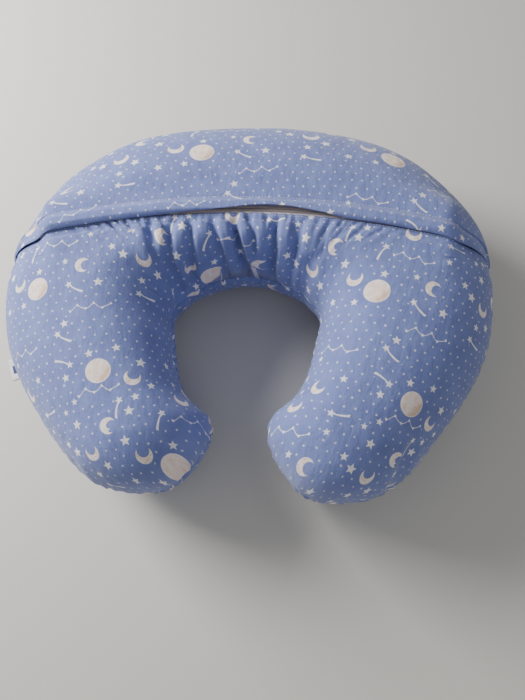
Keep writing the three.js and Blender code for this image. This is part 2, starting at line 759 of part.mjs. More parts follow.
function lapGrid(offsets, lift) {
  return LAP_COLUMNS.map((s) =>
    offsets.map((offset) => {
      const v = angleAtOffset(s, offset);
      const point = facePoint(s, v);
      const height = lapHeight(s, offset) + lift - hemDip(point, v);
      return point.addScaledVector(faceNormal(s, v), height);
    }),
  );
}
add("zip_lap", sheet(lapGrid(LAP_ROWS, COVER_CLOTH), lapGrid(LAP_ROWS, 0)), COLOURS.cotton);

// The thread is one solid here, laid along the lap over its row of stitches
function topstitchThread() {
  const edges = [TOPSTITCH_OFFSET + THREAD_RADIUS, TOPSTITCH_OFFSET - THREAD_RADIUS];
  const bottom = COVER_CLOTH + SEAM_GAP;
  return sheet(lapGrid(edges, bottom + 2 * THREAD_RADIUS), lapGrid(edges, bottom));
}
add("lap_topstitching", topstitchThread(), COLOURS.thread);

// ---- Labels ----

// Folded tag that stands out from the left outer seam; its section is drawn as [outwards, up]
function sideTag() {
  const root = TAG_ROOT_THICKNESS / 2;
  const fold = TAG_FOLD_THICKNESS / 2;
  const section = new THREE.Shape();
  section.moveTo(0, -root);
  section.lineTo(TAG_REACH - 2 * fold, -fold);
  section.absarc(TAG_REACH - fold, 0, fold, -Math.PI / 2, Math.PI / 2);
  section.lineTo(TAG_REACH - 2 * fold, fold);
  section.lineTo(0, root);
  const settings = { depth: TAG_LENGTH, bevelEnabled: false, curveSegments: 4 };
  return new THREE.ExtrudeGeometry(section, settings).translate(0, 0, -TAG_LENGTH / 2);
}
// The seam is a straight line between two columns there, and the tag stands square to it
const tagStation = -TAG_STATION * LENGTH;
const tagColumn = COLUMNS.findIndex((s) => s > tagStation);
const [tagFrom, tagTo] = [COLUMNS[tagColumn - 1], COLUMNS[tagColumn]];
const tagSeam = facePoint(tagTo, 0).sub(facePoint(tagFrom, 0));
const tagRoot = facePoint(tagFrom, 0).addScaledVector(
  tagSeam,
  (tagStation - tagFrom) / (tagTo - tagFrom),
);
const tagOutwards = new THREE.Vector3(-tagSeam.y, tagSeam.x, 0).normalize();
const tag = add("side_tag", sideTag(), COLOURS.tag);
const tagUp = new THREE.Vector3(0, 0, 1);
const tagBasis = new THREE.Matrix4().makeBasis(
  tagOutwards,
  tagUp,
  new THREE.Vector3().crossVectors(tagOutwards, tagUp),
);
tag.quaternion.setFromRotationMatrix(tagBasis);
tag.position.copy(tagRoot).addScaledVector(tagOutwards, TAG_ROOT_GAP);

// Care label inside the cover, hanging from the right outer seam, parallel to the cloth beside it
function careLabel() {
  const at = CARE_LABEL_STATION * LENGTH;
  const column = COLUMNS.findIndex((s) => s > at);
  const [near, far] = [COLUMNS[column - 1], COLUMNS[column]];
  const rowsAt = (s) => lowerPanelRows(s).filter((v, i, all) => v > 0 || all[i + 1] > 0).slice(0, 2);
  const cell = (depth) => gridLayer([near, far], rowsAt, flat(depth), { lift: HALF_SEAM });
  const width = facePoint(near, 0).distanceTo(facePoint(far, 0));
  const margin = Math.max(0.08, (1 - CARE_LABEL_WIDTH / width) / 2);
  const part = (depth) => {
    const [[a, b], [d, c]] = cell(depth);
    return [margin, 1 - margin].map((across) =>
      [0.5, 0.92].map((up) => a.clone().lerp(d, across).lerp(b.clone().lerp(c, across), up)),
    );
  };
  const outer = COVER_CLOTH + LAP_GAP;
  return sheet(part(outer), part(outer + CARE_LABEL_THICKNESS));
}
add("care_label", careLabel(), COLOURS.tag);

export default pillow;
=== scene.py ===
"""A C-shaped nursing pillow in a printed cotton cover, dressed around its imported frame.

Forms are worked out in millimetres in the frame's own axes: +X right, +Y towards the closed
back of the C, +Z up from the resting plane. Meshes are made in metres.
"""

import logging
import math
from dataclasses import dataclass, field
from enum import Enum, IntEnum

import bmesh
import bpy
import numpy as np
from mathutils import Matrix, Vector


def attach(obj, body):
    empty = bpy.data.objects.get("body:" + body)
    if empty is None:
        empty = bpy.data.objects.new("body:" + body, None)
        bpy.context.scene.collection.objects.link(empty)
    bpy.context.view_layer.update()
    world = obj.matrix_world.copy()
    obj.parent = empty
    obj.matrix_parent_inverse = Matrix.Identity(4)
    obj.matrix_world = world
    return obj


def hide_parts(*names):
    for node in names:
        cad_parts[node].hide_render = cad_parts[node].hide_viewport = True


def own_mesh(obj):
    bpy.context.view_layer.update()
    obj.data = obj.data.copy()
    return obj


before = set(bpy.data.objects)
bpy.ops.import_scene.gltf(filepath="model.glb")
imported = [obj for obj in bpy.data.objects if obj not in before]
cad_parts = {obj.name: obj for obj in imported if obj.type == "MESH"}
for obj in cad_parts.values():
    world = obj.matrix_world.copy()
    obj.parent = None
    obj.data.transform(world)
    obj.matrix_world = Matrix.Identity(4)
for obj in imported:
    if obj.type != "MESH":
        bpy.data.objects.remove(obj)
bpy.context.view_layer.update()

LOG = logging.getLogger("nursing_pillow")
MM = 0.001
Array = np.ndarray
Colour = tuple[float, float, float]
Material = bpy.types.Material
Piece = bpy.types.Object
Socket = bpy.types.NodeSocket


class Body(str, Enum):
    """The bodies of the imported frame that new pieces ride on."""

    PILLOW = "pillow"
    TAG = "tag"


class Slot(str, Enum):
    """Names of the record's material slots."""

    COVER = "cover_print"
    CASING = "casing"
    FIBRE = "fibre"
    THREAD = "thread"
    TAPE = "zip_tape"
    COIL = "zip_coil"
    LABEL = "label"


class Panel(Enum):
    """The cut pieces of the cover, each with its own lie of the cloth."""

    UPPER = "upper"
    LOWER = "lower"
    BASE = "base"


class Seed(IntEnum):
    """Starting numbers of the repeatable noise."""

    BROAD_LUMPS = 11
    SMALL_LUMPS = 12
    GATHERS = 20
    UNEVEN_GATHERS = 31
    FOLDS = 40
    INNER_SEAM = 51
    OUTER_SEAM = 61
    LAP_EDGE = 71
    LAP_CREASES = 72
    FILLING = 81


# ---- Small maths ----


def smooth(value: Array) -> Array:
    """Eases 0 to 1, and holds the ends outside that."""
    t = np.clip(value, 0.0, 1.0)
    return t * t * (3.0 - 2.0 * t)


def signed_power(value: Array, power: float) -> Array:
    """Raises the size of a value to a power and keeps its sign."""
    return np.sign(value) * np.abs(value) ** power


def unit(vectors: Array) -> Array:
    """Scales each vector to length one."""
    return vectors / (np.linalg.norm(vectors, axis=-1, keepdims=True) + 1e-12)


@dataclass(frozen=True)
class SoftNoise:
    """Smooth, repeatable noise over a plane, from -1 to 1."""

    seed: int
    size: int = 64

    def at(self, x: Array, y: Array) -> Array:
        """Samples the noise.

        Args:
            x: First coordinate, in cells of the noise.
            y: Second coordinate, in cells of the noise.

        Returns:
            Values from -1 to 1 in the shape of the inputs.
        """
        table = np.random.default_rng(self.seed).uniform(-1, 1, (self.size, self.size))
        x, y = np.broadcast_arrays(x, y)
        i, j = np.floor(x).astype(int), np.floor(y).astype(int)
        u, v = smooth(x - i), smooth(y - j)
        i0, i1, j0, j1 = i % self.size, (i + 1) % self.size, j % self.size, (j + 1) % self.size
        near = table[i0, j0] * (1 - u) + table[i1, j0] * u
        far = table[i0, j1] * (1 - u) + table[i1, j1] * u
        return near * (1 - v) + far * v


# ---- The pillow's form ----


@dataclass
class PillowForm:
    """Outer face of the stuffed cover, by station along the C and angle round its section.

    A station s is signed: negative on the left. An angle v is 0 at the outer seam, a quarter
    turn on top, a half turn at the inner seam, and three quarters underneath.
    """

    arcs: tuple = ((331.0, 15.3), (106.4, 98.1), (356.0, 27.8))
    ease_length: float = 36.0
    tip_length: float = 73.0
    tip_power: float = 2.5
    stations: tuple = (0.0, 0.3, 0.6, 0.85, 1.0)
    outer_half_widths: tuple = (116.8, 121.8, 94.5, 78.5, 54.5)
    inner_half_widths: tuple = (64.5, 82.7, 78.7, 56.9, 74.1)
    half_thickness: float = 84.0
    settle: float = 4.0
    section_power: float = 2.25
    zip_radius: float = 906.0
    zip_centre_y: float = -928.0
    zip_level: float = 162.0
    land: float = 20.0
    land_fade: float = 60.0
    land_half_length: float = 206.0
    land_shoulder: float = 26.0
    upper_match: tuple = (-47.5, 47.4)
    upper_home: tuple = (-36.5, -99.5)
    upper_tilt: float = -9.28
    base_shift: tuple = (74.0, 33.0)
    crown_ease: float = 0.0012
    turn_from: float = 88.0
    turn_to: float = 275.0
    column_counts: tuple = (40, 104, 38, 32)
    print_lean: dict = field(
        default_factory=lambda: {
            Panel.UPPER: (22.0, 190.0),
            Panel.LOWER: (13.0, 250.0),
            Panel.BASE: (13.0, 250.0),
        }
    )

    def __post_init__(self) -> None:
        """Walks the centreline once, so that places on it are looked up."""
        lengths = [radius * math.radians(angle) for radius, angle in self.arcs]
        self.length = sum(lengths)
        count = math.ceil(self.length)
        step = self.length / count
        middle = (np.arange(count) + 0.5) * step
        curvature = np.full(count, 1 / self.arcs[0][0])
        end = 0.0
        for i in (1, 2):
            end += lengths[i - 1]
            change = 1 / self.arcs[i][0] - 1 / self.arcs[i - 1][0]
            curvature = curvature + smooth((middle - end) / self.ease_length + 0.5) * change
        self.track_s = np.arange(count + 1) * step
        self.track_turn = np.concatenate([[0], np.cumsum(curvature * step)])
        self.track_x, self.track_y = self.walk(self.track_turn)
        self.zip_end = self.last_station(0.0)

    def walk(self, turn: Array) -> tuple[Array, Array]:
        """Follows a heading along the centreline.

        Args:
            turn: Heading at each track point, in radians.

        Returns:
            The x and y of each track point.
        """
        step = self.track_s[1]
        middle = (turn[1:] + turn[:-1]) / 2
        x = np.concatenate([[0], np.cumsum(np.cos(middle) * step)])
        return x, np.concatenate([[0], -np.cumsum(np.sin(middle) * step)])

    def along(self, values: tuple, share: Array) -> Array:
        """Reads a smooth curve through the values at the stations, with no overshoot.

        Args:
            values: Values at the stations of the form.
            share: Places along the C, from 0 at the back to 1 at a tip.

        Returns:
            Values at those places.
        """
        knots, heights = np.array(self.stations), np.array(values)
        steps = np.diff(knots)
        rises = np.diff(heights) / steps
        slopes = np.zeros(len(knots))
        for i in range(1, len(knots) - 1):
            before, after = rises[i - 1], rises[i]
            if before * after > 0:
                slopes[i] = 2 * before * after / (before + after)
        i = np.clip(np.searchsorted(knots, share) - 1, 0, len(steps) - 1)
        h, t = steps[i], np.clip((share - knots[i]) / steps[i], 0, 1)
        start = (1 + 2 * t) * (1 - t) ** 2 * heights[i] + t * (1 - t) ** 2 * h * slopes[i]
        end = t * t * (3 - 2 * t) * heights[i + 1] - t * t * (1 - t) * h * slopes[i + 1]
        return start + end

    def tip_share(self, s: Array) -> Array:
        """Rounded end of a leg: 1 along the leg, 0 at its tip."""
        into = np.maximum(0, (np.abs(s) - (self.length - self.tip_length)) / self.tip_length)
        return np.maximum(0, 1 - into**self.tip_power) ** (1 / self.tip_power)

    def point(self, s: Array, v: Array) -> Array:
        """Gives points of the outer face.

        Args:
            s: Stations, in millimetres.
            v: Section angles, in radians.

        Returns:
            Points, with a last axis of x, y and z.
        """
        s, v = np.broadcast_arrays(np.asarray(s, float), np.asarray(v, float))
        a, side = np.abs(s), np.where(s < 0, -1.0, 1.0)
        turn = np.interp(a, self.track_s, self.track_turn)
        tip = self.tip_share(s)
        across = signed_power(np.cos(v), 2 / self.section_power)
        up = signed_power(np.sin(v), 2 / self.section_power)
        share = a / self.length
        outer = self.along(self.outer_half_widths, share)
        inner = self.along(self.inner_half_widths, share)
        lateral = across * tip * np.where(across > 0, outer, inner)
        x = side * (np.interp(a, self.track_s, self.track_x) + np.sin(turn) * lateral)
        y = np.interp(a, self.track_s, self.track_y) + np.cos(turn) * lateral
        z = self.half_thickness * (1 + tip * up) - self.settle
        above = (v > 0) & (v < np.pi)
        z = np.where(above, z + (self.zip_level - z) * self.land_share(x, y), z)
        return np.stack([x, y, z], -1)

    def zip_polar(self, x: Array, y: Array) -> tuple[Array, Array]:
        """Angle from +Y about the zip's arc, and offset outwards from that arc."""
        offset = np.hypot(x, y - self.zip_centre_y) - self.zip_radius
        return np.arctan2(x, y - self.zip_centre_y), offset

    def zip_point(self, angle: Array, offset: Array, z: Array) -> Array:
        """Point at an angle and offset about the zip's arc.

        Args:
            angle: Angles from +Y about the arc, in radians.
            offset: Offsets outwards from the arc.
            z: Heights.

        Returns:
            Points, with a last axis of x, y and z.
        """
        reach = self.zip_radius + np.asarray(offset, float)
        x = reach * np.sin(angle)
        y = self.zip_centre_y + reach * np.cos(angle)
        return np.stack(np.broadcast_arrays(x, y, np.asarray(z, float)), -1)

    def land_share(self, x: Array, y: Array) -> Array:
        """1 on the level strip that carries the zip, 0 where the cover has its own shape.

        Args:
            x: Places to the right.
            y: Places towards the back.

        Returns:
            Shares from 0 to 1.
        """
        angle, offset = self.zip_polar(x, y)
        across = 1 - smooth((np.abs(offset) - self.land) / (self.land_fade - self.land))
        ends = (np.abs(angle) * self.zip_radius - self.land_half_length) / self.land_shoulder
        return across * (1 - smooth(ends))

    def angle_at_offset(self, s: Array, offset: Array) -> Array:
        """Section angle where a circle about the zip's centre crosses each station.

        Args:
            s: Stations, in millimetres.
            offset: Offset of the circle from the zip's arc.

        Returns:
            Section angles, 0 where the circle misses the section.
        """
        s, offset = np.broadcast_arrays(np.asarray(s, float), np.asarray(offset, float))
        a = np.abs(s)
        turn = np.interp(a, self.track_s, self.track_turn)
        x = np.interp(a, self.track_s, self.track_x)
        y = np.interp(a, self.track_s, self.track_y) - self.zip_centre_y
        b = x * np.sin(turn) + y * np.cos(turn)
        root = b * b - (x * x + y * y - (self.zip_radius + offset) ** 2)
        lateral = -b + np.sqrt(np.maximum(root, 0))
        share = a / self.length
        outer = self.along(self.outer_half_widths, share)
        inner = self.along(self.inner_half_widths, share)
        reach = np.where(lateral > 0, outer, inner) * self.tip_share(s)
        part = np.clip(lateral / np.maximum(reach, 1e-6), -1, 1)
        angle = np.arccos(signed_power(part, self.section_power / 2))
        return np.where((root <= 0) | (np.cos(turn) <= 0.05), 0.0, angle)

    def last_station(self, offset: float) -> float:
        """Last station that a circle about the zip's centre still crosses."""
        s = np.linspace(0, self.length - self.tip_length, 4000)
        return float(s[np.flatnonzero(self.angle_at_offset(s, offset) > 0)[-1]])

    def columns(self) -> Array:
        """Stations for a fine grid, closer together where the C turns and at its tips.

        Returns:
            Signed stations, from the left tip to the right one.
        """
        tip_start = self.length - self.tip_length
        level_count, corner_count, leg_count, tip_count = self.column_counts
        level = np.linspace(0, self.turn_from, level_count, endpoint=False)
        corner = np.linspace(self.turn_from, self.turn_to, corner_count, endpoint=False)
        leg = np.linspace(self.turn_to, tip_start, leg_count, endpoint=False)
        quarter = np.linspace(0, np.pi / 2, tip_count)
        tip = tip_start + self.tip_length * np.sin(quarter) ** (2 / self.tip_power)
        right = np.concatenate([level, corner, leg, tip])
        return np.concatenate([-right[:0:-1], right])

    def cloth_place(self, s: Array, v: Array, panel: Panel) -> Array:
        """Places points on the flat cloth, where the print lies straight.

        Args:
            s: Stations, in millimetres.
            v: Section angles, in radians.
            panel: Which cut piece of the cover they are on.

        Returns:
            Flat places in metres, with a last axis of two.
        """
        lean, run = self.print_lean[panel]
        turn = self.track_turn - math.radians(lean) * smooth(self.track_s / run)
        flat_x, flat_y = self.walk(turn)
        crown = 1.5 * np.pi if panel is Panel.BASE else 0.5 * np.pi
        samples = 120
        sweep = np.linspace(-np.pi / 2, np.pi / 2, samples) + crown
        section = self.point(s[:, :1], sweep[None, :])
        steps = np.linalg.norm(np.diff(section, axis=1), axis=-1)
        arc = np.concatenate([np.zeros((len(s), 1)), np.cumsum(steps, 1)], 1)
        middle = arc[:, samples // 2 - 1 : samples // 2 + 1].mean(1)
        reach = np.array([np.interp(v[i], sweep, arc[i]) - middle[i] for i in range(len(s))])
        lateral = reach if panel is Panel.BASE else -reach
        lateral = np.where(lateral < 0, lateral + self.crown_ease * lateral**2, lateral)
        a, side = np.abs(s), np.where(s < 0, -1.0, 1.0)
        heading = np.interp(a, self.track_s, turn)
        u = side * (np.interp(a, self.track_s, flat_x) + np.sin(heading) * lateral)
        w = np.interp(a, self.track_s, flat_y) + np.cos(heading) * lateral
        if panel is Panel.UPPER:
            x, y = u - self.upper_match[0], w - self.upper_match[1]
            tilt = math.radians(self.upper_tilt)
            u = self.upper_home[0] + x * math.cos(tilt) - y * math.sin(tilt)
            w = self.upper_home[1] + x * math.sin(tilt) + y * math.cos(tilt)
        elif panel is Panel.BASE:
            u, w = u + self.base_shift[0], w + self.base_shift[1]
        return np.stack([u, w], -1) * MM


# ---- Folds, puckers and lumps of the stuffed cloth ----


@dataclass(frozen=True)
class DeepFold:
    """One large fold that runs from the zip to the inner seam.

    Attributes:
        start: Station where it leaves the zip.
        end: Station where it meets the inner seam.
        depth: Depth of its valley.
        width: Half-width of its valley.
        reach: Shares of the way to the inner seam between which it is open.
    """

    start: float
    end: float
    depth: float
    width: float
    reach: tuple[float, float] = (0.02, 1.1)


@dataclass
class ClothRelief:
    """How far the cloth stands off the smooth form, outwards, in millimetres."""

    form: PillowForm
    gather_pitches: tuple = (8.5, 13.0, 21.0, 34.0)
    hem_wavelength: float = 9.5
    wavelength_growth: float = 0.2
    gather_slope: float = 0.29
    fold_gain: float = 1.75
    deep_folds: tuple = (
        DeepFold(-112, -150, 3.5, 7.0),
        DeepFold(-84, -118, 5.0, 7.0),
        DeepFold(-60, -80, 3.5, 6.0),
        DeepFold(-38, -27, 4.2, 7.0),
        DeepFold(-14, 2, 6.0, 7.5),
        DeepFold(8, 26, 4.5, 5.5, (0.1, 1.1)),
        DeepFold(37, 34, 6.0, 6.0),
        DeepFold(62, 60, 2.5, 7.0),
        DeepFold(96, 88, 2.0, 7.0, (0.3, 1.1)),
    )
    fold_wander: float = 5.0
    fold_ridge: float = 0.42
    gather_from: float = -215.0
    gather_to: float = 160.0
    gather_fade: float = 70.0
    swellings: tuple = ((236.0, -30.0, 4.0), (-232.0, -20.0, -5.5))
    swelling_radius: float = 70.0
    tag_place: tuple = (-248.8, -179.8, 80.0)
    tag_calm: float = 24.0
    seam_groove: float = 1.7
    seam_width: float = 2.0
    pucker_height: float = 1.3
    pucker_gain: float = 2.2
    pucker_pitch: float = 13.0
    pucker_start: float = 3.5
    pucker_reach: float = 13.0

    def lumps(self, points: Array) -> Array:
        """Uneven stuffing: broad, low swellings away from the zip.

        Args:
            points: Points of the smooth form.

        Returns:
            Height of the swellings.
        """
        x, y, z = points[..., 0], points[..., 1], points[..., 2]
        broad = SoftNoise(Seed.BROAD_LUMPS).at(x / 95 + 7, y / 95 + z / 140 + 9) * 2.4
        small = SoftNoise(Seed.SMALL_LUMPS).at(x / 38 + 3, y / 38 + z / 60 + 5) * 0.9
        height = broad + small
        for centre_x, centre_y, rise in self.swellings:
            away = (x - centre_x) ** 2 + (y - centre_y) ** 2
            height = height + rise * np.exp(-away / self.swelling_radius**2)
        return height * (1 - self.form.land_share(x, y))

    def calm_at_tag(self, points: Array, height: Array) -> Array:
        """Takes the swellings and puckers down where the side tag bends against the cover."""
        away = np.linalg.norm(points - np.array(self.tag_place), axis=-1)
        return height - np.maximum(height + 0.6, 0) * np.exp(-((away / self.tag_calm) ** 4))

    def seam_relief(self, s: Array, distance: Array, seed: int, strength: float = 1.0) -> Array:
        """Groove at a seam, with puckers that run out beside it.

        Args:
            s: Length along the seam, in millimetres.
            distance: Distance from the seam over the cloth.
            seed: Which run of puckers.
            strength: Size of the puckers.

        Returns:
            Height, negative in the groove.
        """
        groove = -self.seam_groove * np.exp(-((distance / self.seam_width) ** 2))
        drift = SoftNoise(seed).at(s / 31, distance * 0 + 2.5) * 0.9
        strong = 0.55 + 0.45 * SoftNoise(seed + 1).at(s / 47, distance * 0 + 8.5)
        wave = np.cos(2 * np.pi * (s / self.pucker_pitch + drift))
        window = smooth(distance / self.pucker_start) * np.exp(-distance / self.pucker_reach)
        return groove + strength * self.pucker_height * wave * strong * window * self.pucker_gain

    def gathers(self, s: Array, from_hem: Array, run: Array, spacing: Array) -> Array:
        """Cloth eased onto the zip: small gathers that merge into a few soft folds.

        Args:
            s: Stations, in millimetres.
            from_hem: Distance from the lower hem over the cloth.
            run: Length of cloth from that hem to the inner seam.
            spacing: Millimetres of cloth per millimetre of station.

        Returns:
            Height of the folds.
        """
        wanted = self.hem_wavelength + self.wavelength_growth * from_hem
        height = np.zeros_like(from_hem)
        for k, pitch in enumerate(self.gather_pitches):
            wavelength = pitch * spacing
            weight = np.exp(-(np.log(wavelength / wanted) ** 2) / (2 * 0.3**2))
            drift = SoftNoise(Seed.GATHERS + k).at(s / (2.6 * pitch), from_hem / 55) * 0.55
            ridge = np.abs(np.sin(np.pi * (s / pitch + drift + 0.37 * k))) ** 0.8 * 2 - 1.25
            height += self.gather_slope * wavelength * weight * ridge
        fewer_right = 1 - 0.6 * smooth((s - 45) / 60)
        middle = smooth((s - self.gather_from) / self.gather_fade) * fewer_right
        reach = middle * (1 - smooth((s - self.gather_to) / self.gather_fade))
        uneven = 0.75 + 0.5 * SoftNoise(Seed.UNEVEN_GATHERS).at(s / 33, from_hem / 200)
        at_seam = smooth((run - from_hem) / 24)
        lasting = 26 + 90 * (1 - smooth((np.abs(s - 5) - 55) / 70))
        fading = np.exp(-((from_hem / lasting) ** 2))
        return height * reach * uneven * at_seam * fading * (0.5 + 0.5 * smooth(from_hem / 9))

    def folds(self, s: Array, share: Array, spacing: Array) -> Array:
        """The large folds, each a valley with a soft ridge on both sides.

        Args:
            s: Stations, in millimetres.
            share: Share of the way from the lower hem to the inner seam.
            spacing: Millimetres of cloth per millimetre of station.

        Returns:
            Height of the folds.
        """
        height = np.zeros_like(share)
        for i, fold in enumerate(self.deep_folds):
            bend = self.fold_wander * SoftNoise(Seed.FOLDS + i).at(share * 2.2, share * 0 + 0.5)
            centre = fold.start + (fold.end - fold.start) * share**0.8 + bend
            away = (s - centre) * spacing
            width = fold.width * (0.75 + 0.5 * share)
            valley = -np.exp(-((away / width) ** 2))
            beside = (np.abs(away) - 1.9 * width) / (1.1 * width)
            ridges = self.fold_ridge * np.exp(-(beside**2))
            low, high = fold.reach
            window = smooth((share - low) / 0.16) * (1 - smooth((share - high + 0.25) / 0.25))
            caught = 1 - smooth((share - 0.84) / 0.16)
            height += self.fold_gain * fold.depth * window * caught * (valley + ridges)
        return height


@dataclass
class PanelGrid:
    """A fine grid of points over part of the cover, with its places on the flat cloth."""

    s: Array
    v: Array
    points: Array
    cloth: Array

    def normals(self, form: PillowForm) -> Array:
        """Outward direction at each grid point, also at the tips where columns meet.

        Args:
            form: The pillow's form.

        Returns:
            Directions of length one.
        """
        along = np.gradient(self.points, axis=0)
        round_section = np.gradient(self.points, axis=1)
        normal = unit(np.cross(round_section, along))
        for end in (0, -1):
            if form.tip_share(self.s[end, :1])[0] < 1e-3:
                turn = form.track_turn[-1]
                side = -1.0 if end == 0 else 1.0
                normal[end] = (side * math.cos(turn), -math.sin(turn), 0)
        return normal

    def raised(self, form: PillowForm, height: Array) -> "PanelGrid":
        """The same grid with each point moved outwards by its height."""
        moved = self.points + self.normals(form) * height[..., None]
        return PanelGrid(self.s, self.v, moved, self.cloth)


def graded_rows(count: int, crowding: float = 0.5) -> Array:
    """Shares from 0 to 1 that stand closer together near both ends."""
    t = np.linspace(0, 1, count)
    return t - crowding * np.sin(2 * np.pi * t) / (2 * np.pi)


def section_rows(form: PillowForm, s: Array, low: Array, high: Array, count: int) -> Array:
    """Section angles that share out the cloth's length between two edges.

    Args:
        form: The pillow's form.
        s: Stations, one for each column.
        low: Section angle of the first row, for each column.
        high: Section angle of the last row, for each column.
        count: Number of rows.

    Returns:
        Angles, one row of the array for each station.
    """
    fine = np.linspace(0, 1, 160)
    sweep = low[:, None] + (high - low)[:, None] * fine[None, :]
    inside = np.clip(s, -form.length + 1.5, form.length - 1.5)
    points = form.point(inside[:, None], sweep)
    steps = np.linalg.norm(np.diff(points, axis=1), axis=-1) + 1e-6
    arc = np.concatenate([np.zeros((len(s), 1)), np.cumsum(steps, 1)], 1)
    shares = graded_rows(count)
    return np.array([np.interp(shares * a[-1], a, row) for a, row in zip(arc, sweep)])


# ---- Meshes ----


def new_object(name: str, vertices: Array, faces: list | Array, material: Material) -> Piece:
    """Makes a smooth-shaded mesh object.

    Args:
        name: Name of the piece.
        vertices: Points in millimetres.
        faces: Vertex numbers of each face.
        material: Its finish.

    Returns:
        The new object, linked to the scene.
    """
    mesh = bpy.data.meshes.new(name)
    mesh.from_pydata((np.asarray(vertices) * MM).tolist(), [], [list(map(int, f)) for f in faces])
    mesh.polygons.foreach_set("use_smooth", [True] * len(mesh.polygons))
    mesh.materials.append(material)
    piece = bpy.data.objects.new(name, mesh)
    bpy.context.scene.collection.objects.link(piece)
    return piece


def set_cloth_places(mesh: bpy.types.Mesh, places: Array) -> None:
    """Writes the flat cloth place of each vertex as the mesh's UV map, in metres.

    Args:
        mesh: The mesh.
        places: Flat place of each vertex, in metres.
    """
    layer = mesh.uv_layers.new(name="Cloth")
    loops = np.empty(len(mesh.loops), int)
    mesh.loops.foreach_get("vertex_index", loops)
    layer.data.foreach_set("uv", places[loops].astype(np.float32).ravel())


def grid_faces(columns: int, rows: int, first: int = 0, flip: bool = False) -> Array:
    """Quads of a grid whose vertices are numbered column by column.

    Args:
        columns: Number of columns.
        rows: Number of rows.
        first: Number of the first vertex.
        flip: Whether the faces look the other way.

    Returns:
        Four vertex numbers for each face.
    """
    i, j = np.meshgrid(np.arange(columns - 1), np.arange(rows - 1), indexing="ij")
    a = first + i * rows + j
    quads = np.stack([a, a + 1, a + rows + 1, a + rows], -1).reshape(-1, 4)
    return quads[:, ::-1] if flip else quads


def shell_faces(columns: int, rows: int) -> list:
    """Faces of a closed sheet: two grids, one under the other, joined all round.

    Args:
        columns: Number of columns of each grid.
        rows: Number of rows of each grid.

    Returns:
        Vertex numbers of each face, with the lower grid numbered after the upper one.
    """
    count = columns * rows
    faces = [*grid_faces(columns, rows), *grid_faces(columns, rows, count, flip=True)]
    ring = [i * rows for i in range(columns)]
    ring += [(columns - 1) * rows + j for j in range(1, rows)]
    ring += [i * rows + rows - 1 for i in range(columns - 2, -1, -1)]
    ring += [j for j in range(rows - 2, 0, -1)]
    faces += [(a, b, b + count, a + count) for a, b in zip(ring, ring[1:] + ring[:1])]
    return faces


def cloth_shell(
    name: str, outer: PanelGrid, form: PillowForm, thickness: float, material: Material
) -> Piece:
    """Makes a closed sheet of cloth under a grid.

    Args:
        name: Name of the piece.
        outer: Its outer face.
        form: The pillow's form.
        thickness: Thickness of the cloth.
        material: Its finish.

    Returns:
        The new object.
    """
    inner = outer.points - outer.normals(form) * thickness
    vertices = np.concatenate([outer.points.reshape(-1, 3), inner.reshape(-1, 3)])
    piece = new_object(name, vertices, shell_faces(*outer.s.shape), material)
    places = outer.cloth.reshape(-1, 2)
    set_cloth_places(piece.data, np.concatenate([places, places]))
    weld(piece)
    return piece


def weld(piece: Piece, distance: float = 2e-6) -> None:
    """Joins vertices that share a place, which closes the tips of the legs.

    Args:
        piece: The piece.
        distance: Largest gap that is closed, in metres.
    """
    work = bmesh.new()
    work.from_mesh(piece.data)
    bmesh.ops.remove_doubles(work, verts=work.verts, dist=distance)
    bmesh.ops.dissolve_degenerate(work, edges=work.edges, dist=1e-7)
    work.to_mesh(piece.data)
    work.free()


def face_outwards(piece: Piece) -> None:
    """Turns every face of a closed piece outwards.

    Args:
        piece: The piece.
    """
    work = bmesh.new()
    work.from_mesh(piece.data)
    bmesh.ops.recalc_face_normals(work, faces=work.faces)
    work.to_mesh(piece.data)
    work.free()


def tube_mesh(
    paths: list[Array], radii: list[tuple[float, float]], sides: int = 6
) -> tuple[Array, list]:
    """Closed tubes along paths.

    Args:
        paths: Points of each path, in millimetres.
        radii: Half-width across the plane and half-height out of it, for each path.
        sides: Number of sides.

    Returns:
        Vertices and faces of all the tubes together.
    """
    vertices, faces, first = [], [], 0
    angles = np.arange(sides) * 2 * np.pi / sides
    for path, (wide, high) in zip(paths, radii):
        along = unit(np.gradient(path, axis=0))
        up = unit(np.array([0.0, 0.0, 1.0]) - along * along[:, 2:3])
        across = np.cross(along, up)
        ends = np.ones(len(path))
        ends[[0, -1]] = 0.45
        ring = (
            across[:, None] * (np.cos(angles) * wide)[None, :, None]
            + up[:, None] * (np.sin(angles) * high)[None, :, None]
        )
        vertices.append((path[:, None] + ring * ends[:, None, None]).reshape(-1, 3))
        for i in range(len(path) - 1):
            for k in range(sides):
                a, b = first + i * sides + k, first + i * sides + (k + 1) % sides
                faces.append((a, b, b + sides, a + sides))
        faces.append(tuple(first + k for k in range(sides))[::-1])
        faces.append(tuple(first + (len(path) - 1) * sides + k for k in range(sides)))
        first += len(path) * sides
    return np.concatenate(vertices), faces


# ---- Shader nodes ----

Feed = Socket | float | tuple


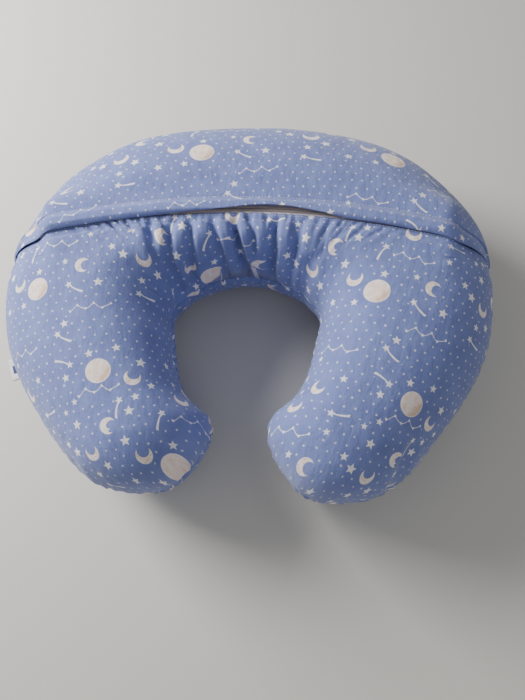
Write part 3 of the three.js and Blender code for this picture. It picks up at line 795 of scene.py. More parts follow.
class NodeDesk:
    """Adds and joins the nodes of one shader tree."""

    def __init__(self, tree: bpy.types.NodeTree) -> None:
        """Takes the tree that the nodes go into."""
        self.tree = tree

    def add(self, kind: str, **settings: object) -> bpy.types.Node:
        """Adds a node and sets its options.

        Args:
            kind: Type of the node.
            settings: Its options.

        Returns:
            The node.
        """
        node = self.tree.nodes.new(kind)
        for key, value in settings.items():
            setattr(node, key, value)
        return node

    def feed(self, socket: Socket, value: Feed) -> None:
        """Joins a socket to another one, or sets its value.

        Args:
            socket: The input.
            value: Another socket or a plain value.
        """
        if isinstance(value, Socket):
            self.tree.links.new(value, socket)
        else:
            socket.default_value = value

    def math(self, operation: str, *values: Feed) -> Socket:
        """Adds a maths node and gives its result.

        Args:
            operation: Name of the operation.
            values: Its inputs, in order.

        Returns:
            The result.
        """
        node = self.add("ShaderNodeMath", operation=operation)
        for socket, value in zip(node.inputs, values):
            self.feed(socket, value)
        return node.outputs[0]

    def vector(self, operation: str, *values: Feed) -> Socket:
        """Adds a vector maths node and gives its result.

        Args:
            operation: Name of the operation.
            values: Its inputs, in order.

        Returns:
            The result, a number or a vector.
        """
        node = self.add("ShaderNodeVectorMath", operation=operation)
        for socket, value in zip(node.inputs, values):
            self.feed(socket, value)
        single = operation in ("DOT_PRODUCT", "LENGTH", "DISTANCE")
        return node.outputs["Value" if single else "Vector"]

    def combine(self, x: Feed, y: Feed) -> Socket:
        """Makes a vector from two numbers.

        Args:
            x: First part.
            y: Second part.

        Returns:
            The vector.
        """
        node = self.add("ShaderNodeCombineXYZ")
        self.feed(node.inputs[0], x)
        self.feed(node.inputs[1], y)
        return node.outputs[0]

    def split(self, value: Feed) -> tuple[Socket, Socket]:
        """Gives the first two parts of a vector.

        Args:
            value: The vector.

        Returns:
            Its x and its y.
        """
        node = self.add("ShaderNodeSeparateXYZ")
        self.feed(node.inputs[0], value)
        return node.outputs[0], node.outputs[1]

    def mix(self, share: Feed, first: Feed, second: Feed, kind: str = "RGBA") -> Socket:
        """Mixes two colours or vectors.

        Args:
            share: How much of the second one shows.
            first: A colour or vector.
            second: Another one.
            kind: RGBA for colours, VECTOR for vectors.

        Returns:
            The mixture.
        """
        node = self.add("ShaderNodeMix", data_type=kind)
        first_input, second_input, result = {"RGBA": (6, 7, 2), "VECTOR": (4, 5, 1)}[kind]
        self.feed(node.inputs[0], share)
        self.feed(node.inputs[first_input], first)
        self.feed(node.inputs[second_input], second)
        return node.outputs[result]

    def spread(self, value: Feed, low: float, high: float, to: tuple = (0.0, 1.0)) -> Socket:
        """Maps a value's range onto another one, holding its ends.

        Args:
            value: The value.
            low: Start of its range.
            high: End of its range.
            to: What the start and the end become.

        Returns:
            The mapped value.
        """
        node = self.add("ShaderNodeMapRange")
        for socket, item in zip(node.inputs, (value, low, high, *to)):
            self.feed(socket, item)
        return node.outputs[0]

    def noise(
        self, place: Feed, scale: float, detail: float = 2.0, rough: float = 0.5
    ) -> bpy.types.Node:
        """Adds a noise texture.

        Args:
            place: Where it is sampled.
            scale: Waves per unit of place.
            detail: Number of finer layers.
            rough: Share of each finer layer.

        Returns:
            The node, whose value and colour are both of use.
        """
        node = self.add("ShaderNodeTexNoise")
        self.feed(node.inputs["Vector"], place)
        node.inputs["Scale"].default_value = scale
        node.inputs["Detail"].default_value = detail
        node.inputs["Roughness"].default_value = rough
        return node

    def bump(
        self, height: Feed, distance: float, strength: float = 1.0, under: Feed | None = None
    ) -> Socket:
        """Adds a bump node.

        Args:
            height: Height of the surface, from 0 to 1.
            distance: What a height of 1 stands for, in metres.
            strength: Share of the effect.
            under: A coarser normal that it is laid on.

        Returns:
            The changed normal.
        """
        node = self.add("ShaderNodeBump")
        node.inputs["Strength"].default_value = strength
        node.inputs["Distance"].default_value = distance
        self.feed(node.inputs["Height"], height)
        if under is not None:
            self.feed(node.inputs["Normal"], under)
        return node.outputs[0]


def paint(red: float, green: float, blue: float) -> tuple:
    """Turns a screen colour from 0 to 255 into a shader colour.

    Args:
        red: Red, from 0 to 255.
        green: Green, from 0 to 255.
        blue: Blue, from 0 to 255.

    Returns:
        Linear red, green, blue and an alpha of 1.
    """
    parts = [c / 255 for c in (red, green, blue)]
    linear = [c / 12.92 if c <= 0.04045 else ((c + 0.055) / 1.055) ** 2.4 for c in parts]
    return (*linear, 1.0)


# ---- The print ----


@dataclass(frozen=True)
class Motif:
    """One printed figure: its place in the repeat, its lie in degrees and its size."""

    x: float
    y: float
    lie: float = 0.0
    size: float = 1.0


@dataclass(frozen=True)
class SkyPrint:
    """Plain moons, crescents, stars, shooting stars, star chains and dots on a skewed repeat.

    Lengths are millimetres on the flat cloth.
    """

    repeat: tuple = ((191.0, -7.0), (112.0, -204.0))
    origin: tuple = (-36.5, -99.5)
    moon_radius: float = 12.3
    crescent_radius: float = 8.0
    shooting_head: float = 4.0
    tail_length: float = 17.0
    dot_radius: float = 1.0
    dot_strength: float = 0.66
    dot_row: float = 8.8
    dot_column: float = 10.6
    star_edge: float = 4.4
    moons: tuple = (Motif(0, 0), Motif(57, -103))
    crescents: tuple = (
        Motif(-24, 13, 90), Motif(-77, 24, 93), Motif(52, 14, -14),
        Motif(88, -115, 68), Motif(136, -134, 84), Motif(60, -158, -19),
        Motif(-36, -106, 45),
    )
    stars: tuple = (
        Motif(-107, 37, 8, 4.4), Motif(-97, 28, -9, 5.4), Motif(-83, 1, 3, 4.3),
        Motif(-65, 9, 12, 5.2), Motif(-54, 42, -6, 4.2), Motif(-45, -10, 10, 4.4),
        Motif(-38, 29, -3, 5.3), Motif(-19, -13, 6, 4.2), Motif(3, 19, -8, 4.3),
        Motif(16, -136, 4, 3.4), Motif(26, -150, -12, 5.2), Motif(24, -103, 9, 4.4),
        Motif(34, 22, 0, 3.6), Motif(28, -47, 7, 4.6), Motif(29, -128, -5, 3.6),
        Motif(50, -84, 3, 4.4), Motif(63, 47, 9, 3.6), Motif(66, -8, -7, 5.2),
        Motif(76, -82, 5, 4.4), Motif(82, -148, -4, 5.2), Motif(89, -135, 8, 4.2),
        Motif(97, -99, -10, 5.4), Motif(105, -124, 2, 4.2), Motif(128, -93, 11, 4.4),
        Motif(146, -78, -6, 3.6), Motif(133, -113, 7, 3.6), Motif(-12, -96, 5, 4.2),
    )
    shooting: tuple = (
        Motif(-16, -132, -7), Motif(20, -57, -49), Motif(30, -91, 142),
        Motif(36, -5, -51), Motif(74, -136, -118), Motif(111, -154, -124),
        Motif(-88, -14, -30),
    )
    chains: tuple = (
        Motif(28, 42, -7), Motif(55, -34, -4), Motif(-26, -64, -8),
        Motif(55, -122, -2),
    )

    def local(self, desk: NodeDesk, cell: Feed, motif: Motif, size: float) -> Socket:
        """Place about the nearest copy of a motif, turned with it and divided by its size.

        Args:
            desk: Where the nodes go.
            cell: Place in the repeat, in repeats.
            motif: The motif.
            size: Unit of length of the result.

        Returns:
            The place, as a vector.
        """
        a, b = (np.array(v) for v in self.repeat)
        basis = np.stack([a, b], 1)
        home = np.linalg.inv(basis) @ np.array([motif.x, motif.y])
        lie = math.radians(motif.lie)
        turn = np.array([[math.cos(lie), math.sin(lie)], [-math.sin(lie), math.cos(lie)]])
        rows = turn @ basis / size
        away = desk.vector("SUBTRACT", cell, (*home, 0.0))
        wrapped = desk.vector("WRAP", away, (0.5, 0.5, 0.5), (-0.5, -0.5, -0.5))
        x = desk.vector("DOT_PRODUCT", wrapped, (*rows[0], 0.0))
        y = desk.vector("DOT_PRODUCT", wrapped, (*rows[1], 0.0))
        return desk.combine(x, y)

    def nearest(self, desk: NodeDesk, cell: Feed, motifs: tuple, size: float = 1.0) -> Socket:
        """Place about whichever motif of one kind is nearest.

        Args:
            desk: Where the nodes go.
            cell: Place in the repeat, in repeats.
            motifs: The motifs of one kind.
            size: Unit of length of the result, times each motif's own size.

        Returns:
            The place, as a vector.
        """
        best = self.local(desk, cell, motifs[0], motifs[0].size * size)
        reach = desk.vector("LENGTH", best)
        for motif in motifs[1:]:
            place = self.local(desk, cell, motif, motif.size * size)
            length = desk.vector("LENGTH", place)
            nearer = desk.math("LESS_THAN", length, reach)
            best = desk.mix(nearer, best, place, "VECTOR")
            reach = desk.math("MINIMUM", length, reach)
        return best

    @staticmethod
    def star(desk: NodeDesk, place: Feed) -> Socket:
        """Distance outside a five-pointed star whose points reach 1.

        Args:
            desk: Where the nodes go.
            place: Place about the star's middle.

        Returns:
            The distance, negative inside.
        """
        x, y = desk.split(place)
        angle = desk.math("WRAP", desk.math("ARCTAN2", x, y), math.pi / 5, -math.pi / 5)
        reach = desk.vector("LENGTH", place)
        side = desk.math("MULTIPLY", reach, desk.math("ABSOLUTE", desk.math("SINE", angle)))
        ahead = desk.math("MULTIPLY", reach, desk.math("COSINE", angle))
        rise = desk.math("MULTIPLY_ADD", ahead, 0.3956, -0.3956)
        return desk.math("MULTIPLY_ADD", side, 0.9184, rise)

    @staticmethod
    def crescent(desk: NodeDesk, place: Feed) -> Socket:
        """Distance outside a crescent of radius 1 that opens along +X.

        Args:
            desk: Where the nodes go.
            place: Place about the middle of its outer round.

        Returns:
            The distance, negative inside.
        """
        outer = desk.math("SUBTRACT", desk.vector("LENGTH", place), 1.0)
        cut = desk.vector("LENGTH", desk.vector("SUBTRACT", place, (0.5, 0.0, 0.0)))
        return desk.math("MAXIMUM", outer, desk.math("SUBTRACT", 0.73, cut))

    def tail(self, desk: NodeDesk, place: Feed) -> Socket:
        """Distance outside the curved tail of a shooting star that flies along -X.

        Args:
            desk: Where the nodes go.
            place: Place about the head of the shooting star.

        Returns:
            The distance, negative inside.
        """
        x, y = desk.split(place)
        bow = desk.math("MULTIPLY", desk.math("MULTIPLY", x, x), 0.013)
        off = desk.math("ABSOLUTE", desk.math("SUBTRACT", y, bow))
        half_width = desk.math("MULTIPLY_ADD", x, 0.055, 0.32)
        across = desk.math("SUBTRACT", off, half_width)
        past = desk.math("SUBTRACT", x, self.tail_length)
        ends = desk.math("MAXIMUM", desk.math("SUBTRACT", 2.2, x), past)
        return desk.math("MAXIMUM", across, ends)

    @staticmethod
    def chain(desk: NodeDesk, place: Feed) -> Socket:
        """Distance outside a row of six small dots joined by fine zigzag lines.

        Args:
            desk: Where the nodes go.
            place: Place about the middle of the row.

        Returns:
            The distance, negative inside.
        """
        x, y = desk.split(place)
        run = desk.math("ADD", x, 20.0)
        zigzag = desk.math("MULTIPLY_ADD", desk.math("PINGPONG", run, 8.0), 0.25, -1.0)
        swing = desk.math("MULTIPLY_ADD", desk.math("SINE", desk.math("MULTIPLY", x, 0.31)), 1.3, 2.9)
        off = desk.math("SUBTRACT", y, desk.math("MULTIPLY", zigzag, swing))
        line = desk.math("MULTIPLY_ADD", desk.math("ABSOLUTE", off), 0.7, -0.26)
        beside = desk.math("WRAP", run, 4.0, -4.0)
        spot = desk.math("SUBTRACT", desk.vector("LENGTH", desk.combine(beside, off)), 1.25)
        ends = desk.math("SUBTRACT", desk.math("ABSOLUTE", x), 20.6)
        lines = desk.math("MAXIMUM", line, ends)
        spots = desk.math("MAXIMUM", spot, desk.math("SUBTRACT", ends, 1.0))
        return desk.math("MINIMUM", lines, spots)

    def dots(self, desk: NodeDesk, place: Feed) -> Socket:
        """Distance outside small dots that stand in staggered, slightly uneven rows.

        Args:
            desk: Where the nodes go.
            place: Place on the flat cloth, in millimetres.

        Returns:
            The distance, negative inside.
        """
        drift = desk.vector("SUBTRACT", desk.noise(place, 0.07, 0.0).outputs["Color"], (0.5, 0.5, 0.5))
        uneven = desk.vector("MULTIPLY_ADD", drift, (4.0, 4.0, 0.0), place)
        x, y = desk.split(uneven)
        row = desk.math("DIVIDE", y, self.dot_row)
        across = desk.math("DIVIDE", x, self.dot_column)
        column = desk.math("SUBTRACT", across, desk.math("MULTIPLY", row, 0.5))
        cell = desk.vector("WRAP", desk.combine(column, row), (0.5, 0.5, 0.5), (-0.5, -0.5, -0.5))
        local_x = desk.vector("DOT_PRODUCT", cell, (self.dot_column, self.dot_column / 2, 0.0))
        local_y = desk.vector("DOT_PRODUCT", cell, (0.0, self.dot_row, 0.0))
        away = desk.vector("LENGTH", desk.combine(local_x, local_y))
        return desk.math("SUBTRACT", away, self.dot_radius)

    def inks(self, desk: NodeDesk, place: Feed) -> tuple[Socket, Socket]:
        """Lays the whole print.

        Args:
            desk: Where the nodes go.
            place: Place on the flat cloth, in millimetres.

        Returns:
            How much ink there is, and its colour.
        """
        a, b = (np.array(v) for v in self.repeat)
        inverse = np.linalg.inv(np.stack([a, b], 1))
        shifted = desk.vector("SUBTRACT", place, (*self.origin, 0.0))
        u = desk.vector("DOT_PRODUCT", shifted, (*inverse[0], 0.0))
        w = desk.vector("DOT_PRODUCT", shifted, (*inverse[1], 0.0))
        cell = desk.combine(u, w)
        moon_at = self.nearest(desk, cell, self.moons)
        crescent_at = self.nearest(desk, cell, self.crescents, self.crescent_radius)
        star_at = self.nearest(desk, cell, self.stars)
        shooting_at = self.nearest(desk, cell, self.shooting)
        chain_at = self.nearest(desk, cell, self.chains)
        wobble = desk.math("MULTIPLY_ADD", desk.noise(place, 1.1, 1.0).outputs[0], 0.5, -0.25)
        moon = desk.math("SUBTRACT", desk.vector("LENGTH", moon_at), self.moon_radius)
        crescent = desk.math("MULTIPLY", self.crescent(desk, crescent_at), self.crescent_radius)
        star = desk.math("MULTIPLY", self.star(desk, star_at), self.star_edge)
        small = desk.vector("SCALE", shooting_at, (1.0, 1.0, 1.0))
        small.node.inputs["Scale"].default_value = 1 / self.shooting_head
        head = desk.math("MULTIPLY", self.star(desk, small), self.shooting_head)
        streak = desk.math("MINIMUM", head, self.tail(desk, shooting_at))
        chain = self.chain(desk, chain_at)
        clear = self.clear_of(desk, moon, crescent_at, star_at, shooting_at, chain_at)
        dot = desk.math("ADD", self.dots(desk, place), desk.math("MULTIPLY", clear, 9.0))
        white = desk.math("MINIMUM", desk.math("MINIMUM", star, streak), chain)
        round_motifs = desk.math("MINIMUM", moon, crescent)
        both = desk.math("ADD", desk.math("MINIMUM", round_motifs, white), wobble)
        fine_dots = desk.math("MULTIPLY", desk.spread(dot, 0.25, -0.25), self.dot_strength)
        ink = desk.math("MAXIMUM", desk.spread(both, 0.22, -0.22), fine_dots)
        plain, washed = self.white_ink(desk, place), self.moon_ink(desk, place, moon_at)
        colour = desk.mix(desk.spread(moon, 0.3, -0.3), plain, washed)
        speckled = self.crescent_ink(desk, place)
        return ink, desk.mix(desk.spread(crescent, 0.3, -0.3), colour, speckled)

    @staticmethod
    def clear_of(
        desk: NodeDesk, moon: Feed, crescent: Feed, star: Feed, shooting: Feed, chain: Feed
    ) -> Socket:
        """1 where a larger motif leaves no room for a dot, 0 elsewhere.

        Args:
            desk: Where the nodes go.
            moon: Distance outside the nearest moon.
            crescent: Place about the nearest crescent.
            star: Place about the nearest star.
            shooting: Place about the nearest shooting star.
            chain: Place about the nearest star chain.

        Returns:
            The value, from 0 to 1.
        """
        near_moon = desk.spread(moon, 3.2, 2.6)
        near_crescent = desk.spread(desk.vector("LENGTH", crescent), 1.34, 1.26)
        near_star = desk.math("LESS_THAN", desk.vector("LENGTH", star), 1.5)
        sx, sy = desk.split(desk.vector("SUBTRACT", shooting, (7.5, 1.4, 0.0)))
        cx, cy = desk.split(chain)
        boxes = []
        for x, y, wide, high in ((sx, sy, 13.0, 5.2), (cx, cy, 23.5, 7.0)):
            inside_x = desk.math("LESS_THAN", desk.math("ABSOLUTE", x), wide)
            inside_y = desk.math("LESS_THAN", desk.math("ABSOLUTE", y), high)
            boxes.append(desk.math("MULTIPLY", inside_x, inside_y))
        rounds = desk.math("MAXIMUM", desk.math("MAXIMUM", near_moon, near_crescent), near_star)
        return desk.math("MAXIMUM", rounds, desk.math("MAXIMUM", *boxes))

    @staticmethod
    def white_ink(desk: NodeDesk, place: Feed) -> Socket:
        """Slightly patchy warm white."""
        patches = desk.spread(desk.noise(place, 0.35, 2.0).outputs[0], 0.35, 0.65)
        return desk.mix(patches, paint(232, 230, 240), paint(250, 247, 246))

    @staticmethod
    def crescent_ink(desk: NodeDesk, place: Feed) -> Socket:
        """Cream with a few brown freckles.

        Args:
            desk: Where the nodes go.
            place: Place on the flat cloth, in millimetres.

        Returns:
            The colour.
        """
        freckles = desk.add("ShaderNodeTexVoronoi", feature="F1")
        desk.feed(freckles.inputs["Vector"], place)
        freckles.inputs["Scale"].default_value = 0.42
        spots = desk.spread(freckles.outputs["Distance"], 0.26, 0.18)
        blush = desk.spread(desk.noise(place, 0.2, 2.0).outputs[0], 0.42, 0.62)
        cream = desk.mix(blush, paint(250, 243, 238), paint(243, 219, 205))
        return desk.mix(desk.math("MULTIPLY", spots, 0.62), cream, paint(158, 128, 116))

    @staticmethod
    def moon_ink(desk: NodeDesk, place: Feed, about: Feed) -> Socket:
        """Peach-cream washes with ochre blotches towards one side and a pale rim.

        Args:
            desk: Where the nodes go.
            place: Place on the flat cloth, in millimetres.
            about: Place about the moon's middle.

        Returns:
            The colour.
        """
        wash = desk.spread(desk.noise(place, 0.16, 4.0, 0.6).outputs[0], 0.38, 0.62)
        base = desk.mix(wash, paint(253, 241, 233), paint(247, 222, 205))
        x, y = desk.split(about)
        side = desk.math("SUBTRACT", desk.math("MULTIPLY", x, 0.06), desk.math("MULTIPLY", y, 0.05))
        mottle = desk.noise(place, 0.3, 5.0, 0.65).outputs[0]
        ochre = desk.spread(desk.math("ADD", side, mottle), 0.72, 1.15)
        warm = desk.mix(desk.math("MULTIPLY", ochre, 0.55), base, paint(205, 158, 104))
        craters = desk.spread(desk.noise(place, 0.55, 2.0).outputs[0], 0.62, 0.7)
        marked = desk.mix(desk.math("MULTIPLY", craters, 0.5), warm, paint(196, 160, 142))
        rim = desk.spread(desk.vector("LENGTH", about), 10.9, 11.7)
        return desk.mix(desk.math("MULTIPLY", rim, 0.65), marked, paint(252, 246, 242))


# ---- Finishes ----


@dataclass(frozen=True)
class Finish:
    """A finish: a named material with one main shader."""

    name: str
    roughness: float = 0.8
    metallic: float = 0.0
    sheen: float = 0.0
    specular: float = 0.4

    def begin(self) -> tuple[Material, NodeDesk, bpy.types.Node]:
        """Makes the material and its shader, with the values that are the same all over.

        Returns:
            The material, a desk for its nodes, and its shader.
        """
        material = bpy.data.materials.new(self.name)
        material.use_nodes = True
        desk = NodeDesk(material.node_tree)
        shader = material.node_tree.nodes["Principled BSDF"]
        shader.inputs["Roughness"].default_value = self.roughness
        shader.inputs["Metallic"].default_value = self.metallic
        shader.inputs["Sheen Weight"].default_value = self.sheen
        shader.inputs["Sheen Roughness"].default_value = 0.5
        shader.inputs["Specular IOR Level"].default_value = self.specular
        return material, desk, shader

    def millimetres(self, desk: NodeDesk) -> Socket:
        """Place on the flat cloth in millimetres.

        Args:
            desk: Where the nodes go.

        Returns:
            The place, as a vector.
        """
        places = desk.add("ShaderNodeUVMap", uv_map="Cloth")
        scaled = desk.vector("SCALE", places.outputs[0])
        scaled.node.inputs["Scale"].default_value = 1000.0
        return scaled

    def body_place(self, desk: NodeDesk) -> Socket:
        """Place on the piece itself, in metres."""
        return desk.add("ShaderNodeTexCoord").outputs["Object"]


@dataclass(frozen=True)
class Cotton(Finish):
    """Plain-woven cotton, printed or not."""

    base: tuple = (111, 126, 188)
    deep: tuple = (100, 114, 177)
    thread: float = 0.42
    printed: SkyPrint | None = None

    def make(self) -> Material:
        """Builds the material.

        Returns:
            The material.
        """
        material, desk, shader = self.begin()
        place = self.millimetres(desk)
        x, y = desk.split(place)
        patches = desk.spread(desk.noise(place, 0.045, 4.0, 0.6).outputs[0], 0.36, 0.64)
        dye = desk.mix(patches, paint(*self.deep), paint(*self.base))
        slub = desk.noise(desk.vector("MULTIPLY", place, (0.25, 2.4, 1.0)), 1.0, 2.0).outputs[0]
        cloth = desk.mix(desk.spread(slub, 0.3, 0.9, (0.0, 0.13)), dye, paint(214, 219, 238))
        warp = desk.math("SINE", desk.math("MULTIPLY", x, 2 * math.pi / self.thread))
        weft = desk.math("SINE", desk.math("MULTIPLY", y, 2 * math.pi / self.thread))
        weave = desk.math("MULTIPLY", warp, weft)
        colour = cloth
        if self.printed:
            ink, ink_colour = self.printed.inks(desk, place)
            worn = desk.spread(desk.noise(place, 1.6, 2.0).outputs[0], 0.3, 0.7, (0.9, 1.0))
            colour = desk.mix(desk.math("MULTIPLY", ink, worn), cloth, ink_colour)
        desk.feed(shader.inputs["Base Color"], colour)
        creases = desk.noise(desk.vector("MULTIPLY", place, (1.0, 0.55, 1.0)), 0.11, 4.0, 0.55)
        soft = desk.bump(creases.outputs[0], 0.0016)
        fine = desk.bump(desk.noise(place, 0.5, 3.0).outputs[0], 0.0003, 0.6, soft)
        desk.feed(shader.inputs["Normal"], desk.bump(weave, 0.00006, 0.5, fine))
        return material


@dataclass(frozen=True)
class Fibre(Finish):
    """Loose polyester filling."""

    def make(self) -> Material:
        """Builds the material.

        Returns:
            The material.
        """
        material, desk, shader = self.begin()
        place = self.body_place(desk)
        strands = desk.noise(desk.vector("MULTIPLY", place, (1.0, 3.0, 1.5)), 260.0, 6.0, 0.7)
        tufts = desk.noise(place, 34.0, 3.0)
        colour = desk.mix(strands.outputs[0], paint(226, 225, 220), paint(250, 250, 247))
        desk.feed(shader.inputs["Base Color"], colour)
        low = desk.bump(tufts.outputs[0], 0.006)
        desk.feed(shader.inputs["Normal"], desk.bump(strands.outputs[0], 0.0012, 1.0, low))
        return material


@dataclass(frozen=True)
class Ribbon(Finish):
    """Close-woven tape or label with diagonal or straight ribs, and patches of print."""

    base: tuple = (240, 229, 227)
    shade: tuple = (219, 207, 208)
    rib: float = 0.7
    slant: float = 1.0
    patches: tuple = ()
    patch_colour: tuple = (36, 50, 104)

    def make(self) -> Material:
        """Builds the material.

        Returns:
            The material.
        """
        material, desk, shader = self.begin()
        place = self.millimetres(desk)
        x, y = desk.split(place)
        lean = desk.math("MULTIPLY_ADD", desk.math("PINGPONG", y, 3.0), self.slant, x)
        ribs = desk.math("SINE", desk.math("MULTIPLY", lean, 2 * math.pi / self.rib))
        tone = desk.spread(ribs, -1.0, 1.0, (0.15, 0.85))
        worn = desk.math("MULTIPLY", tone, desk.noise(place, 0.4, 3.0).outputs[0])
        colour = desk.mix(worn, paint(*self.base), paint(*self.shade))
        for left, low, right, high in self.patches:
            from_x = desk.math("ABSOLUTE", desk.math("SUBTRACT", x, (left + right) / 2))
            off_x = desk.math("SUBTRACT", from_x, (right - left) / 2)
            from_y = desk.math("ABSOLUTE", desk.math("SUBTRACT", y, (low + high) / 2))
            off_y = desk.math("SUBTRACT", from_y, (high - low) / 2)
            inside = desk.spread(desk.math("MAXIMUM", off_x, off_y), 0.12, -0.12)
            colour = desk.mix(inside, colour, paint(*self.patch_colour))
        desk.feed(shader.inputs["Base Color"], colour)
        waves = desk.bump(desk.noise(place, 0.16, 2.0).outputs[0], 0.0006)
        desk.feed(shader.inputs["Normal"], desk.bump(ribs, 0.00008, 0.6, waves))
        return material


@dataclass(frozen=True)
class Twist(Finish):
    """Thread or nylon filament, with a fine twist."""

    base: tuple = (228, 226, 236)
    shade: tuple = (176, 178, 200)
    turns: float = 900.0

    def make(self) -> Material:
        """Builds the material.

        Returns:
            The material.
        """
        material, desk, shader = self.begin()
        place = self.body_place(desk)
        x, y = desk.split(place)
        slant = desk.math("ADD", x, desk.math("MULTIPLY", y, 0.6))
        run = desk.math("MULTIPLY", slant, self.turns * 2 * math.pi)
        ply = desk.math("SINE", run)
        fuzz = desk.noise(place, 1500.0, 3.0).outputs[0]
        tone = desk.spread(desk.math("ADD", desk.math("MULTIPLY", ply, 0.5), fuzz), 0.0, 1.2)
        desk.feed(shader.inputs["Base Color"], desk.mix(tone, paint(*self.shade), paint(*self.base)))
        desk.feed(shader.inputs["Normal"], desk.bump(ply, 0.00008, 0.6))
        return material


@dataclass(frozen=True)
class PlatedMetal(Finish):
    """Nickel-plated zinc with rubbed spots and fine scratches."""

    def make(self) -> Material:
        """Builds the material.

        Returns:
            The material.
        """
        material, desk, shader = self.begin()
        place = self.body_place(desk)
        drawn_out = desk.vector("MULTIPLY", place, (0.25, 4.0, 1.0))
        scratches = desk.noise(drawn_out, 1900.0, 3.0).outputs[0]
        rubbed = desk.noise(place, 420.0, 4.0).outputs[0]
        spots = desk.spread(rubbed, 0.4, 0.65)
        colour = desk.mix(spots, paint(164, 164, 168), paint(214, 214, 217))
        dull = desk.spread(desk.math("ADD", rubbed, scratches), 0.6, 1.3, (0.22, 0.46))
        desk.feed(shader.inputs["Base Color"], colour)
        desk.feed(shader.inputs["Roughness"], dull)
        desk.feed(shader.inputs["Normal"], desk.bump(scratches, 0.00003, 0.5))
        return material


@dataclass(frozen=True)
class PlainFloor(Finish):
    """Pale matt ground."""

    tone: tuple = (214, 212, 205)

    def make(self) -> Material:
        """Builds the material.

        Returns:
            The material.
        """
        material, desk, shader = self.begin()
        drift = desk.noise(self.body_place(desk), 2.2, 2.0).outputs[0]
        low = tuple(c - 4 for c in self.tone)
        desk.feed(shader.inputs["Base Color"], desk.mix(drift, paint(*low), paint(*self.tone)))
        return material


@dataclass
class FinishSet:
    """Every finish of the pillow, each made once."""

    def __post_init__(self) -> None:
        """Makes the materials."""
        self.cover = Cotton("printed_cotton", 0.86, sheen=0.25, printed=SkyPrint()).make()
        white = {"base": (238, 236, 230), "deep": (230, 228, 221)}
        self.casing = Cotton("white_cotton", 0.9, **white).make()
        self.fibre = Fibre("polyester_fibre", 0.95, sheen=0.4).make()
        self.thread = Twist("cotton_thread", 0.75, sheen=0.2).make()
        self.tape = Ribbon("zip_tape_weave", 0.5, sheen=0.3).make()
        coil_colours = {"base": (226, 214, 212), "shade": (196, 182, 182)}
        self.coil = Twist("nylon_coil", 0.38, **coil_colours, turns=500).make()
        self.metal = PlatedMetal("plated_metal", 0.3, metallic=1.0).make()
        self.label = Ribbon(
            "woven_label",
            0.55,
            sheen=0.2,
            base=(240, 239, 242),
            shade=(222, 221, 228),
            slant=0.0,
            rib=0.5,
            patches=((7.5, 2.6, 17.5, 10.0),),
        ).make()
        self.care = Ribbon(
            "care_label_satin",
            0.5,
            base=(238, 237, 234),
            shade=(224, 222, 218),
            slant=0.0,
            rib=0.4,
            patches=((3, 4, 17, 4.8), (3, 7, 14, 7.8), (3, 10, 16, 10.8)),
            patch_colour=(96, 98, 104),
        ).make()


# ---- Sub-assemblies ----


def report(piece: Piece, body: Body, slot: Slot, *nodes: str) -> Piece:
    """Puts a finished piece on its body and says so.

    Args:
        piece: The piece.
        body: The body that it moves with.
        slot: Not used.
        nodes: The frame's solids that it stands for.

    Returns:
        The piece.
    """
    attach(piece, body.value)
    if nodes:
        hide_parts(*nodes)
    LOG.info("%s: %d faces, on %s", piece.name, len(piece.data.polygons), body.value)
    return piece


@dataclass(frozen=True)
class LegCrease:
    """A straight crease on a leg, seen from above.

    Attributes:
        start: Where it starts, as x and y.
        end: Where it ends, as x and y.
        depth: Depth of its valley.
        width: Half-width of its valley.
    """

    start: tuple[float, float]
    end: tuple[float, float]
    depth: float
    width: float


